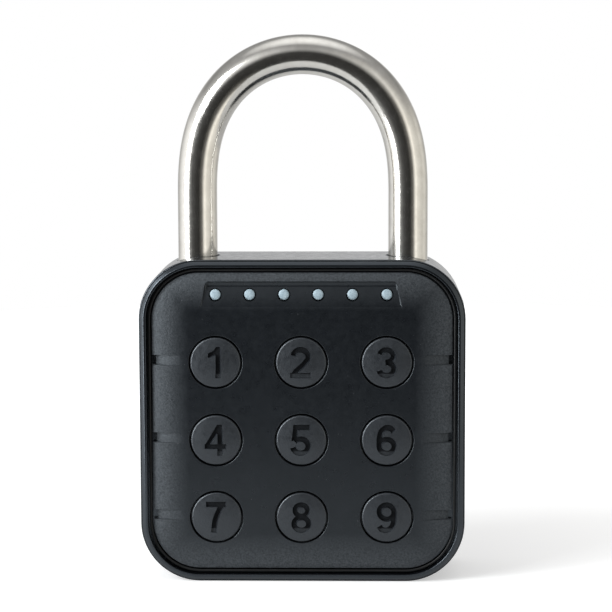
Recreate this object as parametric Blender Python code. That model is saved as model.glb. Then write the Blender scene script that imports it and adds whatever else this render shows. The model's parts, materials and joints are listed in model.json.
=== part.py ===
"""A keypad padlock with a round steel bow, built from its separate pieces.

Metres, +Z up, the keypad faces -Y. The origin is the middle of the box's bottom face.
"""

import math

import bmesh
import bpy
from mathutils import Matrix, Vector

# Fits shared by all pieces
SEAT_GAP = 0.0003
SHAFT_GAP = 0.00018
CUT_OVERRUN = 0.002
ROUND_SIDES = 24
SMALL_ROUND_SIDES = 12
COIL_POINTS_PER_TURN = 8

# Case
BODY_WIDTH = 0.0654
BODY_HEIGHT = 0.0654
BODY_DEPTH = 0.0215
BODY_CORNER_RADIUS = 0.012
BODY_CORNER_STEPS = 6
RIM_WIDTH = 0.0015
RIM_ROUNDING = 0.001
RIM_ROUNDING_DEPTH = 0.001
BACK_ROUNDING = 0.003
EDGE_STEPS = 4
CASE_WALL = 0.0037
BACK_WALL = 0.002

# Keys
KEY_COUNT_ACROSS = 3
KEY_COUNT_DOWN = 3
KEY_PITCH_X = 0.01715
KEY_PITCH_Z = 0.01575
KEY_FIELD_DROP = 0.0036
FACE_SHIFT_X = -0.00015
KEY_PROUD = 0.0005
KEY_CAP_RADIUS = 0.00505
KEY_CAP_CHAMFER = 0.0003
KEY_HOLE_GAP = 0.00045
KEY_FLANGE_RADIUS = 0.006
KEY_FLANGE_THICKNESS = 0.0006
KEY_TRAVEL = 0.0006
KEY_STOP_GAP = 0.0002

# Front panel
PANEL_THICKNESS = 0.002
PANEL_MARGIN_WIDTH = 0.007
PANEL_MARGIN_DROP = 0.0009
PANEL_EDGE_ROUNDING = 0.0002
PANEL_FLAT_CORNER_RADIUS = 0.0045
PANEL_SLOPE_SHARES = ((0.22, 0.36), (0.5, 0.72), (0.76, 0.93), (1.0, 1.0))
GASKET_WALL = 0.0005
GASKET_DEPTH = 0.0005
GASKET_STEP_BACK = 0.0001
GROOVE_HEIGHT = 0.00205
GROOVE_DEPTH = 0.0006
GROOVE_RISE = 0.0004
HOOK_WIDTH = 0.006
HOOK_BITE = 0.0008
HOOK_THICKNESS = 0.001
HOOK_OFFSET_X = 0.014

# Lamps
LAMP_COUNT = 6
LAMP_PITCH = 0.00685
LAMP_RADIUS = 0.0011
LAMP_HOLE_GAP = 0.0002
LAMP_DROP = 0.007
RECESS_TOP_DROP = 0.00405
RECESS_FOOT_DROP = 0.00545
RECESS_END_DROP = 0.01045
RECESS_HALF_WIDTH = 0.0194
RECESS_DEPTH = 0.0012
GUIDE_BAR_HEIGHT = 0.003
GUIDE_BAR_THICKNESS = 0.0006
GUIDE_BAR_OVERHANG = 0.002
LED_WIDTH = 0.002
LED_HEIGHT = 0.0016
LED_THICKNESS = 0.0004
LED_STRIP_THICKNESS = 0.0003

# Keypad mat and main board
MAT_THICKNESS = 0.0004
MAT_MARGIN = 0.0057
MAT_CORNER_RADIUS = 0.002
DOME_BASE_RADIUS = 0.0038
DOME_TOP_RADIUS = 0.0022
BOARD_THICKNESS = 0.0006
BOARD_EDGE_GAP = 0.0015
BOARD_CORNER_RADIUS = 0.0055
POST_RADIUS = 0.0016
POST_INSET_X = 0.0077
POST_LOW_Z = 0.0075
POST_HIGH_DROP = 0.0129
BOARD_SCREW_RADIUS = 0.0006
BOARD_SCREW_HEAD_RADIUS = 0.0014
BOARD_SCREW_HEAD_HEIGHT = 0.0012
BOARD_SCREW_LENGTH = 0.0036
CHIP_SIZE = 0.007
CHIP_THICKNESS = 0.0012
CHIP_X = -0.009
CHIP_DROP = 0.0254
RADIO_WIDTH = 0.014
RADIO_HEIGHT = 0.0085
RADIO_THICKNESS = 0.002
RADIO_INSET_X = 0.0122
RADIO_DROP = 0.0409
BUZZER_RADIUS = 0.0045
BUZZER_HEIGHT = 0.003
BUZZER_PORT_RADIUS = 0.0009
BUZZER_INSET_X = 0.0122
BUZZER_DROP = 0.0299

# Shackle
SHACKLE_RADIUS = 0.004
SHACKLE_SIDES = 20
LEG_OFFSET = 0.02135
ARCH_START = 0.012
ARCH_RISE = 0.0286
ARCH_POWER = 2.6
ARCH_STEPS = 26
SHACKLE_LIFT = 0.0145
TOE_INSERTION = 0.013
HEEL_INSERTION = 0.0289
LEG_END_CHAMFER = 0.0008
NECK_CHAMFER = 0.0006
PIN_RADIUS = 0.001
PIN_BITE = 0.001
PIN_LENGTH = 0.0104
BORE_GAP = 0.0003
BORE_FRONT_WALL = 0.0009
BORE_SIDE_WALL = 0.00185
HEEL_FLOOR_WALL = 0.004
SEAL_WALL = 0.0007
SEAL_HEIGHT = 0.0012
SEAL_TOP_DEPTH = 0.0028
SPRING_CAP_THICKNESS = 0.0015
SPRING_CAP_NUB_RADIUS = 0.0022
SPRING_CAP_NUB_LENGTH = 0.002
SHACKLE_SPRING_RADIUS = 0.0033
SHACKLE_SPRING_WIRE = 0.00045
SHACKLE_SPRING_TURNS = 8

# Bolts and cam
BOLT_DROP = 0.0079
BOLT_RADIUS = 0.0025
BOLT_TRAVEL = 0.002
BOLT_REST_SETBACK = 0.00035
BOLT_COLLAR_RADIUS = 0.00375
BOLT_COLLAR_THICKNESS = 0.0012
BOLT_TIP_CHAMFER = 0.0005
BOLT_GUIDE_LENGTH = 0.00555
BOLT_SPRING_RADIUS = 0.0031
BOLT_SPRING_WIRE = 0.0003
BOLT_SPRING_TURNS = 4
NECK_EXTRA = 0.0005
CAM_BASE_RADIUS = 0.003
CAM_THICKNESS = 0.0056
CAM_TURN = math.pi / 2
CAM_ARC_STEPS = 10

# Motor
MOTOR_WIDTH = 0.01
MOTOR_DEPTH = 0.008
MOTOR_HEIGHT = 0.024
GEAR_HEAD_HEIGHT = 0.009
MOTOR_CAN_INSET = 0.0004
MOTOR_SETBACK = 0.0115
SHAFT_RADIUS = 0.00125
SHAFT_TOP_SETBACK = 0.0006
CRADLE_HEIGHT = 0.01
CRADLE_SETBACK = 0.0225
CRADLE_ARM = 0.0022
CRADLE_FLANGE_THICKNESS = 0.0012
CRADLE_FLANGE_REACH = 0.004
PLATE_SCREW_RADIUS = 0.0008
PLATE_SCREW_HEAD_RADIUS = 0.0017
PLATE_SCREW_HEAD_HEIGHT = 0.0012
PLATE_SCREW_BITE = 0.0012

# Cover screw and the lug that it holds
COVER_SCREW_RADIUS = 0.00125
COVER_SCREW_HEAD_RADIUS = 0.0025
COVER_SCREW_HEAD_HEIGHT = 0.0015
COVER_SCREW_LENGTH = 0.007
TOE_FLOOR_THICKNESS = 0.003
LUG_THICKNESS = 0.005
LUG_HALF_DEPTH = 0.0035
LUG_HALF_WIDTH = 0.00345
LUG_WEB_THICKNESS = 0.0045

# Battery
BATTERY_RADIUS = 0.0051
BATTERY_END_ROOM = 0.0145
BATTERY_NUB_RADIUS = 0.002
BATTERY_NUB_LENGTH = 0.001
BATTERY_ROUNDING = 0.0006
CONTACT_PLATE_RADIUS = 0.0034
CONTACT_PLATE_THICKNESS = 0.0005
CONTACT_TIP_RADIUS = 0.0014
WIRE_RADIUS = 0.0005
WIRE_SIDES = 6

# Charging port
PORT_WIDTH = 0.00894
PORT_HEIGHT = 0.0032
PORT_LENGTH = 0.0073
PORT_WALL = 0.0003
PORT_SETBACK = 0.0019
PORT_TONGUE_WIDTH = 0.0067
PORT_TONGUE_THICKNESS = 0.0007
PORT_TONGUE_SETBACK = 0.001
PORT_BACK_THICKNESS = 0.0012
PLUG_WIDTH = 0.013
PLUG_HEIGHT = 0.0048
PLUG_THICKNESS = 0.0008
PLUG_CORNER_RADIUS = 0.0004
PLUG_STEP_UP = 0.0002
PLUG_NOSE_WIDTH = 0.0076
PLUG_NOSE_HEIGHT = 0.0024
PLUG_NOSE_LENGTH = 0.0006
PLUG_HINGE_INSET = 0.0003

# Finger reader in the back
READER_DROP = 0.0214
READER_RADIUS = 0.006
READER_BASE_RADIUS = 0.0082
READER_BASE_THICKNESS = 0.001
READER_SETBACK = 0.0004
BEZEL_WALL = 0.0014
BEZEL_FLANGE_RADIUS = 0.009
BEZEL_FLANGE_THICKNESS = 0.001
BEZEL_SETBACK = 0.0001
EAR_REACH = 0.0123
EAR_HALF_HEIGHT = 0.0026
EAR_SCREW_X = 0.0102
EAR_POST_RADIUS = 0.0018
READER_BOARD_THICKNESS = 0.0008
RIBBON_WIDTH = 0.004
RIBBON_THICKNESS = 0.0003

# Places worked out from the sizes
CASE_FRONT = KEY_PROUD - (BODY_DEPTH + KEY_PROUD) / 2
CASE_BACK = CASE_FRONT + BODY_DEPTH
MID_Z = BODY_HEIGHT / 2
POST_OFFSET_X = BODY_WIDTH / 2 - POST_INSET_X
RADIO_X = BODY_WIDTH / 2 - RADIO_INSET_X
BUZZER_X = BODY_WIDTH / 2 - BUZZER_INSET_X
OPENING_HALF_X = BODY_WIDTH / 2 - RIM_WIDTH
OPENING_HALF_Z = BODY_HEIGHT / 2 - RIM_WIDTH
OPENING_RADIUS = BODY_CORNER_RADIUS - RIM_WIDTH
POCKET_HALF_X = BODY_WIDTH / 2 - CASE_WALL
POCKET_HALF_Z = BODY_HEIGHT / 2 - CASE_WALL
POCKET_RADIUS = BODY_CORNER_RADIUS - CASE_WALL
PANEL_INSET = 2 * SEAT_GAP + GASKET_WALL
PANEL_HALF_X = OPENING_HALF_X - PANEL_INSET
PANEL_HALF_Z = OPENING_HALF_Z - PANEL_INSET
PANEL_RADIUS = OPENING_RADIUS - PANEL_INSET
PANEL_BACK = CASE_FRONT + PANEL_THICKNESS
PANEL_EDGE_FRONT = CASE_FRONT + PANEL_MARGIN_DROP
LEDGE_Y = PANEL_BACK + SEAT_GAP
KEY_FLANGE_FRONT = PANEL_BACK + SEAT_GAP
KEY_FLANGE_BACK = KEY_FLANGE_FRONT + KEY_FLANGE_THICKNESS
DOME_TOP_Y = KEY_FLANGE_BACK + SEAT_GAP
MAT_FRONT = KEY_FLANGE_BACK + KEY_TRAVEL + KEY_STOP_GAP
MAT_BACK = MAT_FRONT + MAT_THICKNESS
HOOK_FLOOR_Z = CASE_WALL + SEAT_GAP
HOOK_NOSE_FRONT = MAT_BACK - HOOK_THICKNESS
BOARD_FRONT = MAT_BACK + SEAT_GAP
BOARD_BACK = BOARD_FRONT + BOARD_THICKNESS
CHIP_FRONT = BOARD_BACK + SEAT_GAP
BORE_RADIUS = SHACKLE_RADIUS + BORE_GAP
BLOCK_FRONT = -BORE_RADIUS - BORE_FRONT_WALL
CAVITY_BACK = CASE_BACK - BACK_WALL
KEY_MIDDLE_Z = MID_Z - KEY_FIELD_DROP
LAMP_Z = BODY_HEIGHT - LAMP_DROP
RECESS_TOP_Z = BODY_HEIGHT - RECESS_TOP_DROP
RECESS_FOOT_Z = BODY_HEIGHT - RECESS_FOOT_DROP
RECESS_END_Z = BODY_HEIGHT - RECESS_END_DROP
POST_HIGH_Z = BODY_HEIGHT - POST_HIGH_DROP
CHIP_Z = BODY_HEIGHT - CHIP_DROP
RADIO_Z = BODY_HEIGHT - RADIO_DROP
BUZZER_Z = BODY_HEIGHT - BUZZER_DROP
BOLT_Z = BODY_HEIGHT - BOLT_DROP
MOTOR_TOP_Z = BOLT_Z - MOTOR_SETBACK
CRADLE_LOW_Z = MOTOR_TOP_Z - CRADLE_SETBACK
READER_Z = BODY_HEIGHT - READER_DROP
KEY_HOLE_RADIUS = KEY_CAP_RADIUS + KEY_HOLE_GAP
LAMP_HOLE_RADIUS = LAMP_RADIUS + LAMP_HOLE_GAP
BATTERY_LENGTH = BODY_WIDTH - 2 * CASE_WALL - BATTERY_END_ROOM
BATTERY_Z = CASE_WALL + SEAT_GAP + BATTERY_RADIUS
BATTERY_Y = CAVITY_BACK - SEAT_GAP - BATTERY_RADIUS
BATTERY_ROOF_Z = BATTERY_Z + BATTERY_RADIUS + SEAT_GAP
BLOCK_INNER_X = LEG_OFFSET - BORE_RADIUS - BORE_SIDE_WALL
GUIDE_INNER_X = LEG_OFFSET - BORE_RADIUS - BOLT_GUIDE_LENGTH
CAVITY_TOP = BODY_HEIGHT - CASE_WALL
TOE_BOTTOM_Z = BODY_HEIGHT - TOE_INSERTION
TOE_SEAT_Z = TOE_BOTTOM_Z - SEAT_GAP
HEAD_SEAT_Z = TOE_SEAT_Z - COVER_SCREW_HEAD_HEIGHT - 2 * SEAT_GAP
LUG_ROOF_Z = HEAD_SEAT_Z - TOE_FLOOR_THICKNESS
LUG_TOP_Z = LUG_ROOF_Z - SEAT_GAP
LUG_LOW_Z = LUG_TOP_Z - LUG_THICKNESS
HEEL_BOTTOM_Z = BODY_HEIGHT - HEEL_INSERTION
HEEL_FLOOR_Z = BATTERY_ROOF_Z + HEEL_FLOOR_WALL
BOLT_CHANNEL_RADIUS = BOLT_RADIUS + SEAT_GAP
BOLT_TIP_X = LEG_OFFSET - BORE_RADIUS - BOLT_REST_SETBACK
BOLT_HEEL_X = CAM_BASE_RADIUS + SEAT_GAP
NOTCH_X = BOLT_TIP_X + BOLT_TRAVEL + SEAT_GAP
NECK_RADIUS = LEG_OFFSET - NOTCH_X
NECK_HALF_HEIGHT = BOLT_RADIUS + NECK_EXTRA
NECK_Z = BOLT_Z - SHACKLE_LIFT
PIN_X = -LEG_OFFSET - SHACKLE_RADIUS - PIN_RADIUS + PIN_BITE
PIN_Z = NECK_Z - NECK_HALF_HEIGHT + SHACKLE_LIFT + PIN_RADIUS + SEAT_GAP
SEAL_TOP_Z = BODY_HEIGHT - SEAL_TOP_DEPTH
PORT_Y = CHIP_FRONT + PORT_HEIGHT / 2
PLUG_RECESS_Z = PLUG_STEP_UP + PLUG_THICKNESS + SEAT_GAP
CAM_LEAD = BOLT_TRAVEL / CAM_TURN
CRADLE_HALF_X = MOTOR_WIDTH / 2 + SEAT_GAP + CRADLE_ARM
CRADLE_FRONT = BLOCK_FRONT
CRADLE_BACK = CAVITY_BACK - SEAT_GAP
CRADLE_SCREW_X = CRADLE_HALF_X + CRADLE_FLANGE_REACH / 2
CRADLE_SCREW_Z = CRADLE_LOW_Z + CRADLE_HEIGHT / 2
READER_HOLE_RADIUS = READER_RADIUS + SEAT_GAP + BEZEL_WALL + SEAT_GAP
BEZEL_FLANGE_BACK = CAVITY_BACK - SEAT_GAP
BEZEL_FLANGE_FRONT = BEZEL_FLANGE_BACK - BEZEL_FLANGE_THICKNESS
READER_BASE_BACK = BEZEL_FLANGE_FRONT - SEAT_GAP
READER_BASE_FRONT = READER_BASE_BACK - READER_BASE_THICKNESS
READER_BOARD_BACK = READER_BASE_FRONT - SEAT_GAP
READER_BOARD_FRONT = READER_BOARD_BACK - READER_BOARD_THICKNESS
PLATE_HOLE_END = CAVITY_BACK + PLATE_SCREW_BITE + SEAT_GAP


def arc(centre_u, centre_v, radius, start, end, steps):
    """Points on an arc, from start to end, both included."""
    angles = [start + (end - start) * i / steps for i in range(steps + 1)]
    return [(centre_u + radius * math.cos(a), centre_v + radius * math.sin(a)) for a in angles]


def rounded_outline(half_u, half_v, radius, steps, centre_u=0, centre_v=0):
    """A rectangle with round corners, as points that run anticlockwise."""
    points = []
    for quarter, (side_u, side_v) in enumerate(((1, 1), (-1, 1), (-1, -1), (1, -1))):
        corner_u = centre_u + side_u * (half_u - radius)
        corner_v = centre_v + side_v * (half_v - radius)
        start = quarter * math.pi / 2
        points += arc(corner_u, corner_v, radius, start, start + math.pi / 2, steps)
    return points


def round_outline(radius, sides, centre_u=0, centre_v=0):
    """A circle's points, anticlockwise."""
    return arc(centre_u, centre_v, radius, 0, 2 * math.pi, sides)[:-1]


def stacked(bm, rings):
    """A closed body through rings of equally many points, capped at both ends."""
    loops = [[bm.verts.new(point) for point in ring] for ring in rings]
    count = len(loops[0])
    for low, high in zip(loops, loops[1:]):
        for i in range(count):
            j = (i + 1) % count
            bm.faces.new((low[i], low[j], high[j], high[i]))
    bm.faces.new(list(reversed(loops[0])))
    bm.faces.new(loops[-1])


def prism_y(bm, outline, low_y, high_y):
    """An outline in X and Z, drawn out along Y."""
    stacked(bm, [[(u, high_y, v) for u, v in outline], [(u, low_y, v) for u, v in outline]])


def prism_z(bm, outline, low_z, high_z):
    """An outline in X and Y, drawn out along Z."""
    stacked(bm, [[(u, v, low_z) for u, v in outline], [(u, v, high_z) for u, v in outline]])


def prism_x(bm, outline, low_x, high_x):
    """An outline in Y and Z, drawn out along X."""
    stacked(bm, [[(low_x, u, v) for u, v in outline], [(high_x, u, v) for u, v in outline]])


def block(bm, low, high):
    """A plain block between two corners."""
    outline = [(low[0], low[1]), (high[0], low[1]), (high[0], high[1]), (low[0], high[1])]
    prism_z(bm, outline, low[2], high[2])


def turned(bm, profile, axis, centre, sides):
    """A body turned from (radius, place along the axis), whose first and last places are capped."""
    rings = []
    for radius, place in profile:
        ring = []
        for u, v in round_outline(radius, sides):
            if axis == "Z":
                ring.append((centre[0] + u, centre[1] + v, place))
            elif axis == "Y":
                ring.append((centre[0] + v, place, centre[2] + u))
            else:
                ring.append((place, centre[1] + u, centre[2] + v))
        rings.append(ring)
    stacked(bm, rings)


def ring_solid(bm, inner, outer, low_y, high_y):
    """A ring between two outlines in X and Z with equally many points, drawn out along Y."""
    loops = []
    for outline, y in ((outer, high_y), (outer, low_y), (inner, low_y), (inner, high_y)):
        loops.append([bm.verts.new((u, y, v)) for u, v in outline])
    count = len(outer)
    for k in range(len(loops)):
        low, high = loops[k], loops[(k + 1) % len(loops)]
        for i in range(count):
            j = (i + 1) % count
            bm.faces.new((low[i], low[j], high[j], high[i]))


def tube(bm, points, radius, sides):
    """A round tube along points, with flat ends."""
    points = [Vector(p) for p in points]
    rings = []
    side = None
    for i, point in enumerate(points):
        ahead = points[min(i + 1, len(points) - 1)] - points[max(i - 1, 0)]
        ahead.normalize()
        if side is None:
            side = ahead.orthogonal().normalized()
        side = (side - ahead * side.dot(ahead)).normalized()
        other = ahead.cross(side)
        rings.append([point + side * u + other * v for u, v in round_outline(radius, sides)])
    stacked(bm, rings)


def smooth_route(knots, steps):
    """Points on a smooth curve that passes through the knots."""
    knots = [Vector(k) for k in knots]
    knots = [2 * knots[0] - knots[1]] + knots + [2 * knots[-1] - knots[-2]]
    points = []
    for a, b, c, d in zip(knots, knots[1:], knots[2:], knots[3:]):
        for step in range(steps):
            t = step / steps
            bend = (2 * a - 5 * b + 4 * c - d) * t * t + (3 * b - a - 3 * c + d) * t * t * t
            points.append((2 * b + (c - a) * t + bend) / 2)
    return points + [knots[-2]]


def coil_route(axis, centre, start, end, radius, turns):
    """A coil spring's wire between two places on its axis."""
    route = []
    count = turns * COIL_POINTS_PER_TURN
    for i in range(count + 1):
        angle = 2 * math.pi * i / COIL_POINTS_PER_TURN
        place = start + (end - start) * i / count
        u, v = radius * math.cos(angle), radius * math.sin(angle)
        if axis == "Z":
            route.append((centre[0] + u, centre[1] + v, place))
        else:
            route.append((place, centre[1] + u, centre[2] + v))
    return route


def material(name, colour, roughness, metallic):
    made = bpy.data.materials.new(name)
    made.use_nodes = True
    shader = made.node_tree.nodes["Principled BSDF"]
    shader.inputs["Base Color"].default_value = (*colour, 1)
    shader.inputs["Roughness"].default_value = roughness
    shader.inputs["Metallic"].default_value = metallic
    made.diffuse_color = (*colour, 1)
    return made


def piece(name, bm, look, origin=(0, 0, 0)):
    """An object whose mesh is drawn in place and whose own origin is the given point."""
    bmesh.ops.recalc_face_normals(bm, faces=bm.faces)
    bmesh.ops.transform(bm, matrix=Matrix.Translation(-Vector(origin)), verts=bm.verts)
    mesh = bpy.data.meshes.new(name)
    bm.to_mesh(mesh)
    bm.free()
    mesh.shade_smooth()
    mesh.set_sharp_from_angle(angle=math.radians(32))
    made = bpy.data.objects.new(name, mesh)
    made.location = origin
    bpy.context.scene.collection.objects.link(made)
    if look is not None:
        mesh.materials.append(look)
    return made


def copies(name, endings, bm, look, places):
    """Like pieces at several (x, z) places, which share one mesh drawn round its own axis."""
    shared = None
    for ending, (x, z) in zip(endings, places):
        if shared is None:
            made = piece(f"{name}_{ending}", bm, look)
            shared = made.data
        else:
            made = bpy.data.objects.new(f"{name}_{ending}", shared)
            bpy.context.scene.collection.objects.link(made)
        made.location = (x, 0, z)


def shape(made, tool_name, bm, operation):
    """Adds a Boolean by a helper body, which isn't itself a piece."""
    helper = piece(tool_name, bm, None)
    helper.hide_render = True
    helper.display_type = "WIRE"
    change = made.modifiers.new(tool_name, "BOOLEAN")
    change.operation = operation
    change.solver = "EXACT"
    change.object = helper


def cut(made, tool_name, bm):
    shape(made, tool_name, bm, "DIFFERENCE")


def join(made, tool_name, bm):
    shape(made, tool_name, bm, "UNION")


def key_places():
    """Number, x and z of each key, from the top left."""
    places = []
    for row in range(KEY_COUNT_DOWN):
        for column in range(KEY_COUNT_ACROSS):
            x = FACE_SHIFT_X + (column - (KEY_COUNT_ACROSS - 1) / 2) * KEY_PITCH_X
            z = KEY_MIDDLE_Z + ((KEY_COUNT_DOWN - 1) / 2 - row) * KEY_PITCH_Z
            places.append((row * KEY_COUNT_ACROSS + column + 1, x, z))
    return places


def lamp_places():
    return [FACE_SHIFT_X + (i - (LAMP_COUNT - 1) / 2) * LAMP_PITCH for i in range(LAMP_COUNT)]


def post_places(z):
    return [(-POST_OFFSET_X, z), (POST_OFFSET_X, z)]


def recess_floor_y(z):
    """How far forward the lamp recess's floor lies at a height."""
    share = (RECESS_FOOT_Z - z) / (RECESS_FOOT_Z - RECESS_END_Z)
    return CASE_FRONT + RECESS_DEPTH * (1 - share)


def cavity_outline():
    """The hollow behind the main board, in X and Z: battery bay, motor bay and bolt bay."""
    return [
        (-POCKET_HALF_X, CASE_WALL),
        (POCKET_HALF_X, CASE_WALL),
        (POCKET_HALF_X, LUG_ROOF_Z),
        (GUIDE_INNER_X, LUG_ROOF_Z),
        (GUIDE_INNER_X, CAVITY_TOP),
        (-GUIDE_INNER_X, CAVITY_TOP),
        (-GUIDE_INNER_X, LUG_ROOF_Z),
        (-BLOCK_INNER_X, LUG_ROOF_Z),
        (-BLOCK_INNER_X, BATTERY_ROOF_Z),
        (-POCKET_HALF_X, BATTERY_ROOF_Z),
    ]


def seal_groove():
    """The part of a bore's profile that widens for its seal."""
    groove_radius = BORE_RADIUS + SEAL_WALL + SEAT_GAP
    low = SEAL_TOP_Z - SEAL_HEIGHT - SEAT_GAP
    high = SEAL_TOP_Z + SEAT_GAP
    return [(BORE_RADIUS, low), (groove_radius, low), (groove_radius, high), (BORE_RADIUS, high)]


def make_case(look):
    bm = bmesh.new()
    rings = []
    for y, inset in case_profile():
        outline = rounded_outline(
            BODY_WIDTH / 2 - inset,
            BODY_HEIGHT / 2 - inset,
            BODY_CORNER_RADIUS - inset,
            BODY_CORNER_STEPS,
            0,
            MID_Z,
        )
        rings.append([(x, y, z) for x, z in outline])
    stacked(bm, rings)
    case = piece("case_body", bm, look)

    bm = bmesh.new()
    opening = rounded_outline(OPENING_HALF_X, OPENING_HALF_Z, OPENING_RADIUS, BODY_CORNER_STEPS, 0, MID_Z)
    pocket = rounded_outline(POCKET_HALF_X, POCKET_HALF_Z, POCKET_RADIUS, BODY_CORNER_STEPS, 0, MID_Z)
    steps = (
        (pocket, BLOCK_FRONT),
        (pocket, LEDGE_Y),
        (opening, LEDGE_Y),
        (opening, CASE_FRONT - CUT_OVERRUN),
    )
    stacked(bm, [[(x, y, z) for x, z in outline] for outline, y in steps])
    cut(case, "cut_front_pocket", bm)

    bm = bmesh.new()
    prism_y(bm, cavity_outline(), BLOCK_FRONT - CUT_OVERRUN, CAVITY_BACK)
    cut(case, "cut_rear_bays", bm)

    bm = bmesh.new()
    top = BODY_HEIGHT + CUT_OVERRUN
    heel_profile = [(BORE_RADIUS, HEEL_FLOOR_Z)] + seal_groove() + [(BORE_RADIUS, top)]
    turned(bm, heel_profile, "Z", (-LEG_OFFSET, 0), ROUND_SIDES)
    head_hole = COVER_SCREW_HEAD_RADIUS + SEAT_GAP
    shank_hole = COVER_SCREW_RADIUS + SEAT_GAP
    toe_profile = [
        (shank_hole, LUG_ROOF_Z - CUT_OVERRUN),
        (shank_hole, HEAD_SEAT_Z),
        (head_hole, HEAD_SEAT_Z),
        (head_hole, TOE_SEAT_Z),
        (BORE_RADIUS, TOE_SEAT_Z),
    ]
    toe_profile += seal_groove() + [(BORE_RADIUS, top)]
    turned(bm, toe_profile, "Z", (LEG_OFFSET, 0), ROUND_SIDES)
    cut(case, "cut_leg_bores", bm)

    bm = bmesh.new()
    channel = [(BOLT_CHANNEL_RADIUS, -LEG_OFFSET), (BOLT_CHANNEL_RADIUS, LEG_OFFSET)]
    turned(bm, channel, "X", (0, 0, BOLT_Z), ROUND_SIDES)
    cut(case, "cut_bolt_channel", bm)

    bm = bmesh.new()
    pin_hole = PIN_RADIUS + SEAT_GAP
    pin_profile = [(pin_hole, BLOCK_FRONT - CUT_OVERRUN), (pin_hole, PIN_LENGTH / 2 + SEAT_GAP)]
    turned(bm, pin_profile, "Y", (PIN_X, 0, PIN_Z), SMALL_ROUND_SIDES)
    cut(case, "cut_pin_hole", bm)

    bm = bmesh.new()
    reader = [
        (READER_HOLE_RADIUS, CAVITY_BACK - CUT_OVERRUN),
        (READER_HOLE_RADIUS, CASE_BACK + CUT_OVERRUN),
    ]
    turned(bm, reader, "Y", (0, 0, READER_Z), ROUND_SIDES)
    plate_hole = PLATE_SCREW_RADIUS + SEAT_GAP
    blind = [(plate_hole, CAVITY_BACK - CUT_OVERRUN), (plate_hole, PLATE_HOLE_END)]
    for side in (-1, 1):
        turned(bm, blind, "Y", (side * EAR_SCREW_X, 0, READER_Z), SMALL_ROUND_SIDES)
        turned(bm, blind, "Y", (side * CRADLE_SCREW_X, 0, CRADLE_SCREW_Z), SMALL_ROUND_SIDES)
    cut(case, "cut_back_holes", bm)

    bm = bmesh.new()
    port_half_x = PORT_WIDTH / 2 + SEAT_GAP
    port_half_y = PORT_HEIGHT / 2 + SEAT_GAP
    recess_half_x = PLUG_WIDTH / 2 + SEAT_GAP
    recess_half_y = PLUG_HEIGHT / 2 + SEAT_GAP
    narrow = rounded_outline(port_half_x, port_half_y, port_half_y / 2, BODY_CORNER_STEPS, 0, PORT_Y)
    recess_radius = PLUG_CORNER_RADIUS + SEAT_GAP
    wide = rounded_outline(recess_half_x, recess_half_y, recess_radius, BODY_CORNER_STEPS, 0, PORT_Y)
    steps = (
        (wide, -CUT_OVERRUN),
        (wide, PLUG_RECESS_Z),
        (narrow, PLUG_RECESS_Z),
        (narrow, CASE_WALL + CUT_OVERRUN),
    )
    stacked(bm, [[(x, y, z) for x, y in outline] for outline, z in steps])
    cut(case, "cut_charging_port", bm)

    bm = bmesh.new()
    for left, right in hook_sides():
        slot_low = (left - SEAT_GAP, HOOK_NOSE_FRONT - SEAT_GAP, CASE_WALL - HOOK_BITE - SEAT_GAP)
        block(bm, slot_low, (right + SEAT_GAP, MAT_BACK + SEAT_GAP, CASE_WALL + CUT_OVERRUN))
    cut(case, "cut_hook_slots", bm)


def case_profile():
    """The case's outside from back to front, as (place, inset) with rounded edges."""
    profile = []
    for i in range(EDGE_STEPS + 1):
        angle = math.pi / 2 * i / EDGE_STEPS
        y = CASE_BACK - BACK_ROUNDING * (1 - math.sin(math.pi / 2 - angle))
        profile.append((y, BACK_ROUNDING * (1 - math.sin(angle))))
    for i in range(EDGE_STEPS + 1):
        angle = math.pi / 2 * i / EDGE_STEPS
        y = CASE_FRONT + RIM_ROUNDING_DEPTH * (1 - math.sin(angle))
        profile.append((y, RIM_ROUNDING * (1 - math.cos(angle))))
    return profile


def hook_sides():
    """Left and right side of each hook near the panel's lower edge."""
    centres = (-HOOK_OFFSET_X, HOOK_OFFSET_X)
    return [(x - HOOK_WIDTH / 2, x + HOOK_WIDTH / 2) for x in centres]


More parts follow.
